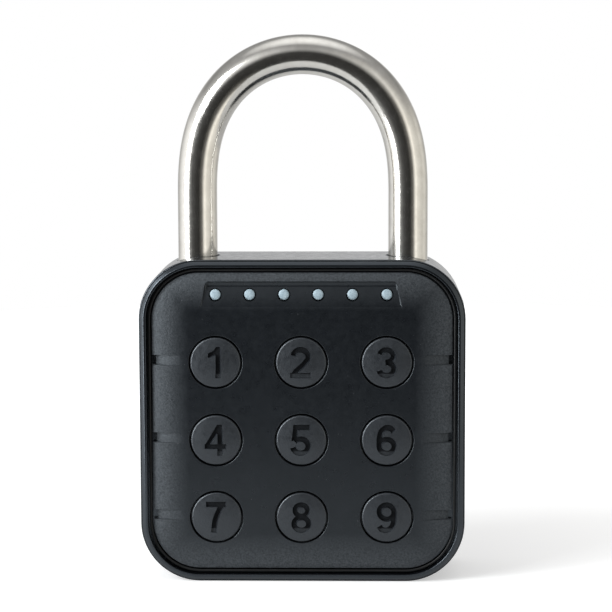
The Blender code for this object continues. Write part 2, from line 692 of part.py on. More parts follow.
def make_panel(look):
    bm = bmesh.new()
    rings = [(PANEL_BACK, 0), (PANEL_EDGE_FRONT + PANEL_EDGE_ROUNDING, 0)]
    rings.append((PANEL_EDGE_FRONT, PANEL_EDGE_ROUNDING))
    for in_share, up_share in PANEL_SLOPE_SHARES:
        inset = PANEL_EDGE_ROUNDING + in_share * (PANEL_MARGIN_WIDTH - PANEL_EDGE_ROUNDING)
        rings.append((PANEL_EDGE_FRONT - up_share * PANEL_MARGIN_DROP, inset))
    solid_rings = []
    for y, inset in rings:
        share = inset / PANEL_MARGIN_WIDTH
        radius = PANEL_RADIUS + (PANEL_FLAT_CORNER_RADIUS - PANEL_RADIUS) * share
        outline = rounded_outline(
            PANEL_HALF_X - inset, PANEL_HALF_Z - inset, radius, BODY_CORNER_STEPS, 0, MID_Z
        )
        solid_rings.append([(x, y, z) for x, z in outline])
    stacked(bm, solid_rings)
    panel = piece("front_panel", bm, look)

    bm = bmesh.new()
    hook = [
        (PANEL_BACK - SEAT_GAP, HOOK_FLOOR_Z),
        (HOOK_NOSE_FRONT, HOOK_FLOOR_Z),
        (HOOK_NOSE_FRONT, CASE_WALL - HOOK_BITE),
        (MAT_BACK, CASE_WALL - HOOK_BITE),
        (MAT_BACK, HOOK_FLOOR_Z + HOOK_THICKNESS),
        (PANEL_BACK - SEAT_GAP, HOOK_FLOOR_Z + HOOK_THICKNESS),
    ]
    for left, right in hook_sides():
        prism_x(bm, hook, left, right)
    join(panel, "add_hooks", bm)

    bm = bmesh.new()
    lug_right = LEG_OFFSET + 2 * LUG_HALF_WIDTH
    web_left = lug_right - LUG_WEB_THICKNESS
    lug_back = LUG_HALF_DEPTH
    outline = [
        (web_left, PANEL_BACK - SEAT_GAP),
        (lug_right, PANEL_BACK - SEAT_GAP),
        (lug_right, lug_back),
        (LEG_OFFSET - LUG_HALF_WIDTH, lug_back),
        (LEG_OFFSET - LUG_HALF_WIDTH, BLOCK_FRONT),
        (web_left, BLOCK_FRONT),
    ]
    prism_z(bm, outline, LUG_LOW_Z, LUG_TOP_Z)
    post = [(POST_RADIUS, PANEL_BACK - SEAT_GAP), (POST_RADIUS, BOARD_FRONT - SEAT_GAP)]
    peg = [(BOARD_SCREW_RADIUS, BOARD_FRONT - SEAT_GAP), (BOARD_SCREW_RADIUS, BOARD_BACK)]
    for x, z in post_places(POST_LOW_Z):
        turned(bm, post, "Y", (x, 0, z), SMALL_ROUND_SIDES)
    for x, z in post_places(POST_HIGH_Z):
        turned(bm, post + peg, "Y", (x, 0, z), SMALL_ROUND_SIDES)
    join(panel, "add_lug_and_posts", bm)

    bm = bmesh.new()
    hole = [(KEY_HOLE_RADIUS, CASE_FRONT - CUT_OVERRUN), (KEY_HOLE_RADIUS, PANEL_BACK + CUT_OVERRUN)]
    for _, x, z in key_places():
        turned(bm, hole, "Y", (x, 0, z), ROUND_SIDES)
    cut(panel, "cut_key_holes", bm)

    bm = bmesh.new()
    recess = [
        (CASE_FRONT - CUT_OVERRUN, RECESS_TOP_Z),
        (CASE_FRONT, RECESS_TOP_Z),
        (CASE_FRONT + RECESS_DEPTH, RECESS_FOOT_Z),
        (CASE_FRONT, RECESS_END_Z),
        (CASE_FRONT - CUT_OVERRUN, RECESS_END_Z),
    ]
    prism_x(bm, recess, FACE_SHIFT_X - RECESS_HALF_WIDTH, FACE_SHIFT_X + RECESS_HALF_WIDTH)
    cut(panel, "cut_lamp_recess", bm)

    bm = bmesh.new()
    hole = [(LAMP_HOLE_RADIUS, CASE_FRONT - CUT_OVERRUN), (LAMP_HOLE_RADIUS, PANEL_BACK + CUT_OVERRUN)]
    for x in lamp_places():
        turned(bm, hole, "Y", (x, 0, LAMP_Z), SMALL_ROUND_SIDES)
    cut(panel, "cut_lamp_holes", bm)

    bm = bmesh.new()
    for row in range(KEY_COUNT_DOWN):
        z = KEY_MIDDLE_Z + ((KEY_COUNT_DOWN - 1) / 2 - row) * KEY_PITCH_Z + GROOVE_RISE
        for side in (-1, 1):
            inner = side * (PANEL_HALF_X - PANEL_MARGIN_WIDTH)
            outer = side * (PANEL_HALF_X + PANEL_INSET)
            outline = [
                (inner, CASE_FRONT - CUT_OVERRUN),
                (outer, CASE_FRONT - CUT_OVERRUN),
                (outer, PANEL_EDGE_FRONT + GROOVE_DEPTH),
                (inner, CASE_FRONT),
            ]
            prism_z(bm, outline, z - GROOVE_HEIGHT / 2, z + GROOVE_HEIGHT / 2)
    bmesh.ops.recalc_face_normals(bm, faces=bm.faces)
    cut(panel, "cut_side_grooves", bm)

    bm = bmesh.new()
    hole_radius = COVER_SCREW_RADIUS + SEAT_GAP
    hole_low = HEAD_SEAT_Z - COVER_SCREW_LENGTH - SEAT_GAP
    hole = [(hole_radius, hole_low), (hole_radius, LUG_ROOF_Z)]
    turned(bm, hole, "Z", (LEG_OFFSET, 0), SMALL_ROUND_SIDES)
    post_hole = BOARD_SCREW_RADIUS + SEAT_GAP
    for x, z in post_places(POST_LOW_Z):
        hole = [(post_hole, BOARD_BACK - BOARD_SCREW_LENGTH), (post_hole, BOARD_BACK)]
        turned(bm, hole, "Y", (x, 0, z), SMALL_ROUND_SIDES)
    cut(panel, "cut_screw_holes", bm)


def make_gasket(look):
    bm = bmesh.new()
    outer_inset = SEAT_GAP
    inner_inset = SEAT_GAP + GASKET_WALL
    outlines = []
    for inset in (inner_inset, outer_inset):
        half_x, half_z = OPENING_HALF_X - inset, OPENING_HALF_Z - inset
        radius = OPENING_RADIUS - inset
        outlines.append(rounded_outline(half_x, half_z, radius, BODY_CORNER_STEPS, 0, MID_Z))
    front = PANEL_EDGE_FRONT + GASKET_STEP_BACK
    ring_solid(bm, outlines[0], outlines[1], front, front + GASKET_DEPTH)
    piece("panel_gasket", bm, look)


def make_keys(look):
    """Nine like keys: a round cap that shows and a flange that keeps it behind the panel."""
    bm = bmesh.new()
    front = CASE_FRONT - KEY_PROUD
    profile = [
        (KEY_CAP_RADIUS - KEY_CAP_CHAMFER, front),
        (KEY_CAP_RADIUS, front + KEY_CAP_CHAMFER),
        (KEY_CAP_RADIUS, KEY_FLANGE_FRONT),
        (KEY_FLANGE_RADIUS, KEY_FLANGE_FRONT),
        (KEY_FLANGE_RADIUS, KEY_FLANGE_BACK),
    ]
    turned(bm, profile, "Y", (0, 0, 0), ROUND_SIDES)
    numbers = [number for number, _, _ in key_places()]
    copies("key", numbers, bm, look, [(x, z) for _, x, z in key_places()])


def make_mat(look):
    bm = bmesh.new()
    half_x = (KEY_COUNT_ACROSS - 1) / 2 * KEY_PITCH_X + MAT_MARGIN
    half_z = (KEY_COUNT_DOWN - 1) / 2 * KEY_PITCH_Z + MAT_MARGIN
    outline = rounded_outline(half_x, half_z, MAT_CORNER_RADIUS, EDGE_STEPS, FACE_SHIFT_X, KEY_MIDDLE_Z)
    prism_y(bm, outline, MAT_FRONT, MAT_BACK)
    mat = piece("keypad_mat", bm, look)
    bm = bmesh.new()
    dome = [(DOME_TOP_RADIUS, DOME_TOP_Y), (DOME_BASE_RADIUS, MAT_FRONT + MAT_THICKNESS / 2)]
    for _, x, z in key_places():
        turned(bm, dome, "Y", (x, 0, z), SMALL_ROUND_SIDES)
    join(mat, "add_domes", bm)


def make_lamps(guide_look, led_look):
    front = LEDGE_Y
    bar_back = front + GUIDE_BAR_THICKNESS
    half_x = (LAMP_COUNT - 1) / 2 * LAMP_PITCH + GUIDE_BAR_OVERHANG
    bm = bmesh.new()
    low = (-half_x, front, LAMP_Z - GUIDE_BAR_HEIGHT / 2)
    block(bm, low, (half_x, bar_back, LAMP_Z + GUIDE_BAR_HEIGHT / 2))
    guide = piece("light_guide", bm, guide_look)
    bm = bmesh.new()
    pin = [(LAMP_RADIUS, recess_floor_y(LAMP_Z)), (LAMP_RADIUS, front + GUIDE_BAR_THICKNESS / 2)]
    for x in lamp_places():
        turned(bm, pin, "Y", (x, 0, LAMP_Z), SMALL_ROUND_SIDES)
    join(guide, "add_lamp_pins", bm)

    bm = bmesh.new()
    strip_back = BOARD_FRONT - SEAT_GAP
    led_front = strip_back - LED_STRIP_THICKNESS - LED_THICKNESS
    low = (-half_x, strip_back - LED_STRIP_THICKNESS, LAMP_Z - GUIDE_BAR_HEIGHT / 2)
    block(bm, low, (half_x, strip_back, LAMP_Z + GUIDE_BAR_HEIGHT / 2))
    strip = piece("led_strip", bm, led_look)
    bm = bmesh.new()
    for x in lamp_places():
        low = (x - LED_WIDTH / 2, led_front, LAMP_Z - LED_HEIGHT / 2)
        high = (x + LED_WIDTH / 2, strip_back - LED_STRIP_THICKNESS / 2, LAMP_Z + LED_HEIGHT / 2)
        block(bm, low, high)
    join(strip, "add_leds", bm)


def make_board(board_look, chip_look, steel_look):
    bm = bmesh.new()
    half_x, half_z = POCKET_HALF_X - BOARD_EDGE_GAP, POCKET_HALF_Z - BOARD_EDGE_GAP
    outline = rounded_outline(half_x, half_z, BOARD_CORNER_RADIUS, EDGE_STEPS, 0, MID_Z)
    prism_y(bm, outline, BOARD_FRONT, BOARD_BACK)
    board = piece("main_board", bm, board_look)
    bm = bmesh.new()
    web_left = LEG_OFFSET + 2 * LUG_HALF_WIDTH - LUG_WEB_THICKNESS
    low = (web_left - SEAT_GAP, BOARD_FRONT - CUT_OVERRUN, LUG_LOW_Z - SEAT_GAP)
    block(bm, low, (POCKET_HALF_X, BOARD_BACK + CUT_OVERRUN, LUG_TOP_Z + SEAT_GAP))
    hole_radius = BOARD_SCREW_RADIUS + SEAT_GAP
    for x, z in post_places(POST_LOW_Z) + post_places(POST_HIGH_Z):
        hole = [(hole_radius, BOARD_FRONT - CUT_OVERRUN), (hole_radius, BOARD_BACK + CUT_OVERRUN)]
        turned(bm, hole, "Y", (x, 0, z), SMALL_ROUND_SIDES)
    cut(board, "cut_board", bm)

    bm = bmesh.new()
    chip_low = (CHIP_X - CHIP_SIZE / 2, CHIP_FRONT, CHIP_Z - CHIP_SIZE / 2)
    block(bm, chip_low, (CHIP_X + CHIP_SIZE / 2, CHIP_FRONT + CHIP_THICKNESS, CHIP_Z + CHIP_SIZE / 2))
    piece("control_chip", bm, chip_look)

    bm = bmesh.new()
    radio_low = (RADIO_X - RADIO_WIDTH / 2, CHIP_FRONT, RADIO_Z - RADIO_HEIGHT / 2)
    radio_high = (RADIO_X + RADIO_WIDTH / 2, CHIP_FRONT + RADIO_THICKNESS, RADIO_Z + RADIO_HEIGHT / 2)
    block(bm, radio_low, radio_high)
    piece("radio_module", bm, steel_look)

    bm = bmesh.new()
    buzzer_back = CHIP_FRONT + BUZZER_HEIGHT
    buzzer_profile = [
        (BUZZER_RADIUS, CHIP_FRONT),
        (BUZZER_RADIUS, buzzer_back),
        (BUZZER_PORT_RADIUS, buzzer_back),
        (BUZZER_PORT_RADIUS, buzzer_back - BUZZER_PORT_RADIUS),
    ]
    turned(bm, buzzer_profile, "Y", (BUZZER_X, 0, BUZZER_Z), ROUND_SIDES)
    piece("buzzer", bm, chip_look)

    bm = bmesh.new()
    head_front = BOARD_BACK + SEAT_GAP
    screw = [
        (BOARD_SCREW_RADIUS, BOARD_BACK + SEAT_GAP - BOARD_SCREW_LENGTH + SEAT_GAP),
        (BOARD_SCREW_RADIUS, head_front),
        (BOARD_SCREW_HEAD_RADIUS, head_front),
        (BOARD_SCREW_HEAD_RADIUS, head_front + BOARD_SCREW_HEAD_HEIGHT),
    ]
    turned(bm, screw, "Y", (0, 0, 0), SMALL_ROUND_SIDES)
    copies("board_screw", ("left", "right"), bm, steel_look, post_places(POST_LOW_Z))


def shackle_route():
    """(x, z, radius) along the bow from the heel's end, over the arch, to the toe's end."""
    neck_low, neck_high = NECK_Z - NECK_HALF_HEIGHT, NECK_Z + NECK_HALF_HEIGHT
    end_radius = SHACKLE_RADIUS - LEG_END_CHAMFER
    heel = [
        (-LEG_OFFSET, HEEL_BOTTOM_Z, end_radius),
        (-LEG_OFFSET, HEEL_BOTTOM_Z + LEG_END_CHAMFER, SHACKLE_RADIUS),
        (-LEG_OFFSET, neck_low - NECK_CHAMFER, SHACKLE_RADIUS),
        (-LEG_OFFSET, neck_low, NECK_RADIUS),
        (-LEG_OFFSET, neck_high, NECK_RADIUS),
        (-LEG_OFFSET, neck_high + NECK_CHAMFER, SHACKLE_RADIUS),
    ]
    arch = []
    for i in range(ARCH_STEPS + 1):
        angle = math.pi * i / ARCH_STEPS
        rise = max(math.sin(angle), 0)
        reach = math.copysign(math.sqrt(1 - rise**ARCH_POWER), -math.cos(angle))
        z = BODY_HEIGHT + ARCH_START + ARCH_RISE * rise
        arch.append((reach * LEG_OFFSET, z, SHACKLE_RADIUS))
    toe = [
        (LEG_OFFSET, TOE_BOTTOM_Z + LEG_END_CHAMFER, SHACKLE_RADIUS),
        (LEG_OFFSET, TOE_BOTTOM_Z, end_radius),
    ]
    return heel + arch + toe


def make_shackle(look):
    route = shackle_route()
    bm = bmesh.new()
    rings = []
    for i, (x, z, radius) in enumerate(route):
        before, after = route[max(i - 1, 0)], route[min(i + 1, len(route) - 1)]
        ahead = Vector((after[0] - before[0], 0, after[1] - before[1])).normalized()
        across = Vector((ahead.z, 0, -ahead.x))
        ring = []
        for u, v in round_outline(radius, SHACKLE_SIDES):
            ring.append(Vector((x, 0, z)) + across * u + Vector((0, 1, 0)) * v)
        rings.append(ring)
    stacked(bm, rings)
    shackle = piece("shackle", bm, look, origin=(-LEG_OFFSET, 0, BODY_HEIGHT))

    bm = bmesh.new()
    half_height = BOLT_RADIUS + SEAT_GAP
    reach_x = LEG_OFFSET - SHACKLE_RADIUS - CUT_OVERRUN
    reach_y = SHACKLE_RADIUS + CUT_OVERRUN
    block(bm, (-NOTCH_X, -reach_y, BOLT_Z - half_height), (-reach_x, reach_y, BOLT_Z + half_height))
    block(bm, (reach_x, -reach_y, BOLT_Z - half_height), (NOTCH_X, reach_y, BOLT_Z + half_height))
    flat_x = PIN_X + PIN_RADIUS + SEAT_GAP
    flat_low = (-LEG_OFFSET - SHACKLE_RADIUS - CUT_OVERRUN, -reach_y, NECK_Z)
    block(bm, flat_low, (flat_x, reach_y, PIN_Z + PIN_RADIUS + SEAT_GAP))
    cut(shackle, "cut_notches", bm)


def make_heel_parts(steel_look, spring_look, seal_look):
    cap_top = HEEL_BOTTOM_Z - SEAT_GAP
    cap_low = cap_top - SPRING_CAP_THICKNESS
    cap = [
        (SPRING_CAP_NUB_RADIUS, cap_low - SPRING_CAP_NUB_LENGTH),
        (SPRING_CAP_NUB_RADIUS, cap_low),
        (SHACKLE_RADIUS, cap_low),
        (SHACKLE_RADIUS, cap_top),
    ]
    bm = bmesh.new()
    turned(bm, cap, "Z", (-LEG_OFFSET, 0), ROUND_SIDES)
    piece("spring_cap", bm, steel_look, origin=(-LEG_OFFSET, 0, cap_top))

    bm = bmesh.new()
    start = HEEL_FLOOR_Z + SEAT_GAP + SHACKLE_SPRING_WIRE
    end = cap_low - SEAT_GAP - SHACKLE_SPRING_WIRE
    centre = (-LEG_OFFSET, 0)
    route = coil_route("Z", centre, start, end, SHACKLE_SPRING_RADIUS, SHACKLE_SPRING_TURNS)
    tube(bm, route, SHACKLE_SPRING_WIRE, WIRE_SIDES)
    piece("shackle_spring", bm, spring_look, origin=(-LEG_OFFSET, 0, HEEL_FLOOR_Z))

    bm = bmesh.new()
    pin = [(PIN_RADIUS, -PIN_LENGTH / 2), (PIN_RADIUS, PIN_LENGTH / 2)]
    turned(bm, pin, "Y", (PIN_X, 0, PIN_Z), SMALL_ROUND_SIDES)
    piece("retaining_pin", bm, steel_look)

    for name, x in (("shackle_seal_left", -LEG_OFFSET), ("shackle_seal_right", LEG_OFFSET)):
        bm = bmesh.new()
        make_seal(bm, x)
        piece(name, bm, seal_look)


def make_seal(bm, x):
    """A flat rubber ring in the groove of a leg's bore."""
    low, high = SEAL_TOP_Z - SEAL_HEIGHT, SEAL_TOP_Z
    inner, outer = BORE_RADIUS, BORE_RADIUS + SEAL_WALL
    loops = []
    for radius, z in ((outer, low), (outer, high), (inner, high), (inner, low)):
        loops.append([bm.verts.new((x + u, v, z)) for u, v in round_outline(radius, ROUND_SIDES)])
    for k in range(len(loops)):
        low_loop, high_loop = loops[k], loops[(k + 1) % len(loops)]
        for i in range(ROUND_SIDES):
            j = (i + 1) % ROUND_SIDES
            bm.faces.new((low_loop[i], low_loop[j], high_loop[j], high_loop[i]))


def make_bolts(steel_look, spring_look):
    collar_end = BOLT_HEEL_X + BOLT_COLLAR_THICKNESS
    for name, side in (("left", -1), ("right", 1)):
        profile = [
            (BOLT_COLLAR_RADIUS, side * BOLT_HEEL_X),
            (BOLT_COLLAR_RADIUS, side * collar_end),
            (BOLT_RADIUS, side * collar_end),
            (BOLT_RADIUS, side * (BOLT_TIP_X - BOLT_TIP_CHAMFER)),
            (BOLT_RADIUS - BOLT_TIP_CHAMFER, side * BOLT_TIP_X),
        ]
        bm = bmesh.new()
        turned(bm, profile, "X", (0, 0, BOLT_Z), ROUND_SIDES)
        piece(f"locking_bolt_{name}", bm, steel_look, origin=(side * BOLT_HEEL_X, 0, BOLT_Z))

        bm = bmesh.new()
        start = side * (collar_end + SEAT_GAP + BOLT_SPRING_WIRE)
        end = side * (GUIDE_INNER_X - SEAT_GAP - BOLT_SPRING_WIRE)
        centre = (0, 0, BOLT_Z)
        route = coil_route("X", centre, start, end, BOLT_SPRING_RADIUS, BOLT_SPRING_TURNS)
        tube(bm, route, BOLT_SPRING_WIRE, WIRE_SIDES)
        piece(f"bolt_spring_{name}", bm, spring_look, origin=(side * GUIDE_INNER_X, 0, BOLT_Z))


def cam_outline():
    """Two involute lobes, which push a flat-ended bolt out at a steady rate as the cam turns."""
    lobe = []
    for i in range(CAM_ARC_STEPS + 1):
        angle = CAM_TURN * i / CAM_ARC_STEPS
        reach = CAM_BASE_RADIUS + CAM_LEAD * angle
        x = reach * math.cos(angle) - CAM_LEAD * math.sin(angle)
        y = -reach * math.sin(angle) - CAM_LEAD * math.cos(angle)
        lobe.append((x, y))
    opposite = [(-x, -y) for x, y in lobe]
    return list(reversed(lobe + opposite))


def make_cam(cam_look, steel_look):
    low, high = BOLT_Z - CAM_THICKNESS / 2, BOLT_Z + CAM_THICKNESS / 2
    bm = bmesh.new()
    prism_z(bm, cam_outline(), low, high)
    cam = piece("lock_cam", bm, cam_look, origin=(0, 0, BOLT_Z))
    bm = bmesh.new()
    hole_radius = SHAFT_RADIUS + SHAFT_GAP
    hole = [(hole_radius, low - CUT_OVERRUN), (hole_radius, high + CUT_OVERRUN)]
    turned(bm, hole, "Z", (0, 0), SMALL_ROUND_SIDES)
    cut(cam, "cut_cam_bore", bm)

    bm = bmesh.new()
    shaft = [(SHAFT_RADIUS, MOTOR_TOP_Z + SEAT_GAP), (SHAFT_RADIUS, high - SHAFT_TOP_SETBACK)]
    turned(bm, shaft, "Z", (0, 0), SMALL_ROUND_SIDES)
    piece("motor_shaft", bm, steel_look, origin=(0, 0, BOLT_Z))


def make_motor(motor_look, cradle_look, steel_look):
    half_x, half_y = MOTOR_WIDTH / 2, MOTOR_DEPTH / 2
    can_top = MOTOR_TOP_Z - GEAR_HEAD_HEIGHT
    bm = bmesh.new()
    block(bm, (-half_x, -half_y, can_top), (half_x, half_y, MOTOR_TOP_Z))
    motor = piece("lock_motor", bm, motor_look)
    bm = bmesh.new()
    can_y = half_y - MOTOR_CAN_INSET
    outline = arc(0, 0, half_x, -math.asin(can_y / half_x), math.asin(can_y / half_x), EDGE_STEPS)
    outline += [(-x, -y) for x, y in outline]
    prism_z(bm, outline, MOTOR_TOP_Z - MOTOR_HEIGHT, can_top + MOTOR_CAN_INSET)
    join(motor, "add_motor_can", bm)

    bm = bmesh.new()
    flange_x = CRADLE_HALF_X + CRADLE_FLANGE_REACH
    flange_front = CRADLE_BACK - CRADLE_FLANGE_THICKNESS
    right = [
        (CRADLE_HALF_X, CRADLE_FRONT),
        (CRADLE_HALF_X, flange_front),
        (flange_x, flange_front),
        (flange_x, CRADLE_BACK),
    ]
    outline = right + [(-x, y) for x, y in reversed(right)]
    cradle_top = CRADLE_LOW_Z + CRADLE_HEIGHT
    prism_z(bm, outline, CRADLE_LOW_Z, cradle_top)
    cradle = piece("motor_cradle", bm, cradle_look)
    bm = bmesh.new()
    slot_x, slot_y = half_x + SEAT_GAP, half_y + SEAT_GAP
    low = (-slot_x, -slot_y, CRADLE_LOW_Z - CUT_OVERRUN)
    block(bm, low, (slot_x, slot_y, cradle_top + CUT_OVERRUN))
    plate_hole = PLATE_SCREW_RADIUS + SEAT_GAP
    hole = [(plate_hole, flange_front - CUT_OVERRUN), (plate_hole, CRADLE_BACK + CUT_OVERRUN)]
    for side in (-1, 1):
        turned(bm, hole, "Y", (side * CRADLE_SCREW_X, 0, CRADLE_SCREW_Z), SMALL_ROUND_SIDES)
    cut(cradle, "cut_cradle_holes", bm)

    plate_screws("cradle_screw", flange_front - SEAT_GAP, CRADLE_SCREW_X, CRADLE_SCREW_Z, steel_look)


def plate_screws(name, seat_y, offset_x, z, look):
    """Two screws that are driven backwards into the case's back wall."""
    screw = [
        (PLATE_SCREW_HEAD_RADIUS, seat_y - PLATE_SCREW_HEAD_HEIGHT),
        (PLATE_SCREW_HEAD_RADIUS, seat_y),
        (PLATE_SCREW_RADIUS, seat_y),
        (PLATE_SCREW_RADIUS, CAVITY_BACK + PLATE_SCREW_BITE),
    ]
    bm = bmesh.new()
    turned(bm, screw, "Y", (0, 0, 0), SMALL_ROUND_SIDES)
    copies(name, ("left", "right"), bm, look, [(-offset_x, z), (offset_x, z)])


def make_cover_screw(look):
    seat = HEAD_SEAT_Z + SEAT_GAP
    profile = [
        (COVER_SCREW_RADIUS, seat - COVER_SCREW_LENGTH),
        (COVER_SCREW_RADIUS, seat),
        (COVER_SCREW_HEAD_RADIUS, seat),
        (COVER_SCREW_HEAD_RADIUS, seat + COVER_SCREW_HEAD_HEIGHT),
    ]
    bm = bmesh.new()
    turned(bm, profile, "Z", (LEG_OFFSET, 0), SMALL_ROUND_SIDES)
    piece("cover_screw", bm, look)


def make_battery(wrap_look, contact_look, wire_looks):
    half = BATTERY_LENGTH / 2
    bm = bmesh.new()
    profile = [
        (BATTERY_RADIUS - BATTERY_ROUNDING, -half),
        (BATTERY_RADIUS, BATTERY_ROUNDING - half),
        (BATTERY_RADIUS, half - BATTERY_ROUNDING),
        (BATTERY_RADIUS - BATTERY_ROUNDING, half),
        (BATTERY_NUB_RADIUS, half),
        (BATTERY_NUB_RADIUS, half + BATTERY_NUB_LENGTH),
    ]
    turned(bm, profile, "X", (0, BATTERY_Y, BATTERY_Z), ROUND_SIDES)
    piece("battery", bm, wrap_look)

    wall = POCKET_HALF_X - SEAT_GAP
    tips = {"left": -half - SEAT_GAP, "right": half + BATTERY_NUB_LENGTH + SEAT_GAP}
    for name, side in (("left", -1), ("right", 1)):
        plate_inner = side * (wall - CONTACT_PLATE_THICKNESS)
        contact = [
            (CONTACT_TIP_RADIUS, tips[name]),
            (CONTACT_PLATE_RADIUS - CONTACT_TIP_RADIUS, plate_inner),
            (CONTACT_PLATE_RADIUS, plate_inner),
            (CONTACT_PLATE_RADIUS, side * wall),
        ]
        bm = bmesh.new()
        turned(bm, contact, "X", (0, BATTERY_Y, BATTERY_Z), SMALL_ROUND_SIDES)
        piece(f"battery_contact_{name}", bm, contact_look)

    board_end = BOARD_BACK + SEAT_GAP
    wire_top = BATTERY_Z + CONTACT_PLATE_RADIUS + SEAT_GAP + WIRE_RADIUS
    for name, side, look in (("left", -1, wire_looks[1]), ("right", 1, wire_looks[0])):
        plate_x = side * (wall - 2 * WIRE_RADIUS)
        knots = [
            (plate_x, BATTERY_Y, wire_top),
            (plate_x, BATTERY_Y - BATTERY_RADIUS, wire_top),
            (side * (half - BATTERY_NUB_RADIUS), (BATTERY_Y - BATTERY_RADIUS + board_end) / 2, wire_top),
            (side * (half - BATTERY_RADIUS), board_end + WIRE_RADIUS * 2, wire_top),
            (side * (half - BATTERY_RADIUS), board_end, wire_top),
        ]
        bm = bmesh.new()
        tube(bm, smooth_route(knots, EDGE_STEPS), WIRE_RADIUS, WIRE_SIDES)
        piece(f"battery_lead_{name}", bm, look)

    motor_low = MOTOR_TOP_Z - MOTOR_HEIGHT
    turn_z = motor_low - 3 * WIRE_RADIUS - SEAT_GAP
    for name, side, look in (("left", -1, wire_looks[1]), ("right", 1, wire_looks[0])):
        x = side * MOTOR_WIDTH / 4
        knots = [
            (x, 0, motor_low - SEAT_GAP),
            (x, -WIRE_RADIUS, turn_z + WIRE_RADIUS),
            (x, CRADLE_FRONT / 2, turn_z),
            (x, board_end + WIRE_RADIUS * 2, turn_z),
            (x, board_end, turn_z),
        ]
        bm = bmesh.new()
        tube(bm, smooth_route(knots, EDGE_STEPS), WIRE_RADIUS, WIRE_SIDES)
        piece(f"motor_lead_{name}", bm, look)


def make_port(steel_look, plug_look):
    top = PORT_SETBACK + PORT_LENGTH
    half_x, half_y = PORT_WIDTH / 2, PORT_HEIGHT / 2
    corner = half_y / 2
    outer = rounded_outline(half_x, half_y, corner, EDGE_STEPS, 0, PORT_Y)
    bm = bmesh.new()
    prism_z(bm, outer, PORT_SETBACK, top)
    socket = piece("usb_socket", bm, steel_look)
    bm = bmesh.new()
    mouth_x, mouth_y = half_x - PORT_WALL, half_y - PORT_WALL
    inner = rounded_outline(mouth_x, mouth_y, corner - PORT_WALL, EDGE_STEPS, 0, PORT_Y)
    prism_z(bm, inner, PORT_SETBACK - CUT_OVERRUN, top - PORT_BACK_THICKNESS)
    cut(socket, "cut_socket_mouth", bm)
    bm = bmesh.new()
    tongue_low = (
        -PORT_TONGUE_WIDTH / 2,
        PORT_Y - PORT_TONGUE_THICKNESS / 2,
        PORT_SETBACK + PORT_TONGUE_SETBACK,
    )
    tongue_high = (PORT_TONGUE_WIDTH / 2, PORT_Y + PORT_TONGUE_THICKNESS / 2, top - PORT_WALL)
    block(bm, tongue_low, tongue_high)
    join(socket, "add_socket_tongue", bm)

    bm = bmesh.new()
    plug_top = PLUG_STEP_UP + PLUG_THICKNESS
    outline = rounded_outline(
        PLUG_WIDTH / 2, PLUG_HEIGHT / 2, PLUG_CORNER_RADIUS, BODY_CORNER_STEPS, 0, PORT_Y
    )
    prism_z(bm, outline, PLUG_STEP_UP, plug_top)
    hinge = (PLUG_HINGE_INSET - PLUG_WIDTH / 2, PORT_Y, PLUG_STEP_UP + PLUG_THICKNESS / 2)
    plug = piece("port_plug", bm, plug_look, origin=hinge)
    bm = bmesh.new()
    nose_x, nose_y = PLUG_NOSE_WIDTH / 2, PLUG_NOSE_HEIGHT / 2
    nose = rounded_outline(nose_x, nose_y, nose_y / 2, EDGE_STEPS, 0, PORT_Y)
    prism_z(bm, nose, plug_top - PLUG_THICKNESS / 2, plug_top + PLUG_NOSE_LENGTH)
    join(plug, "add_plug_nose", bm)


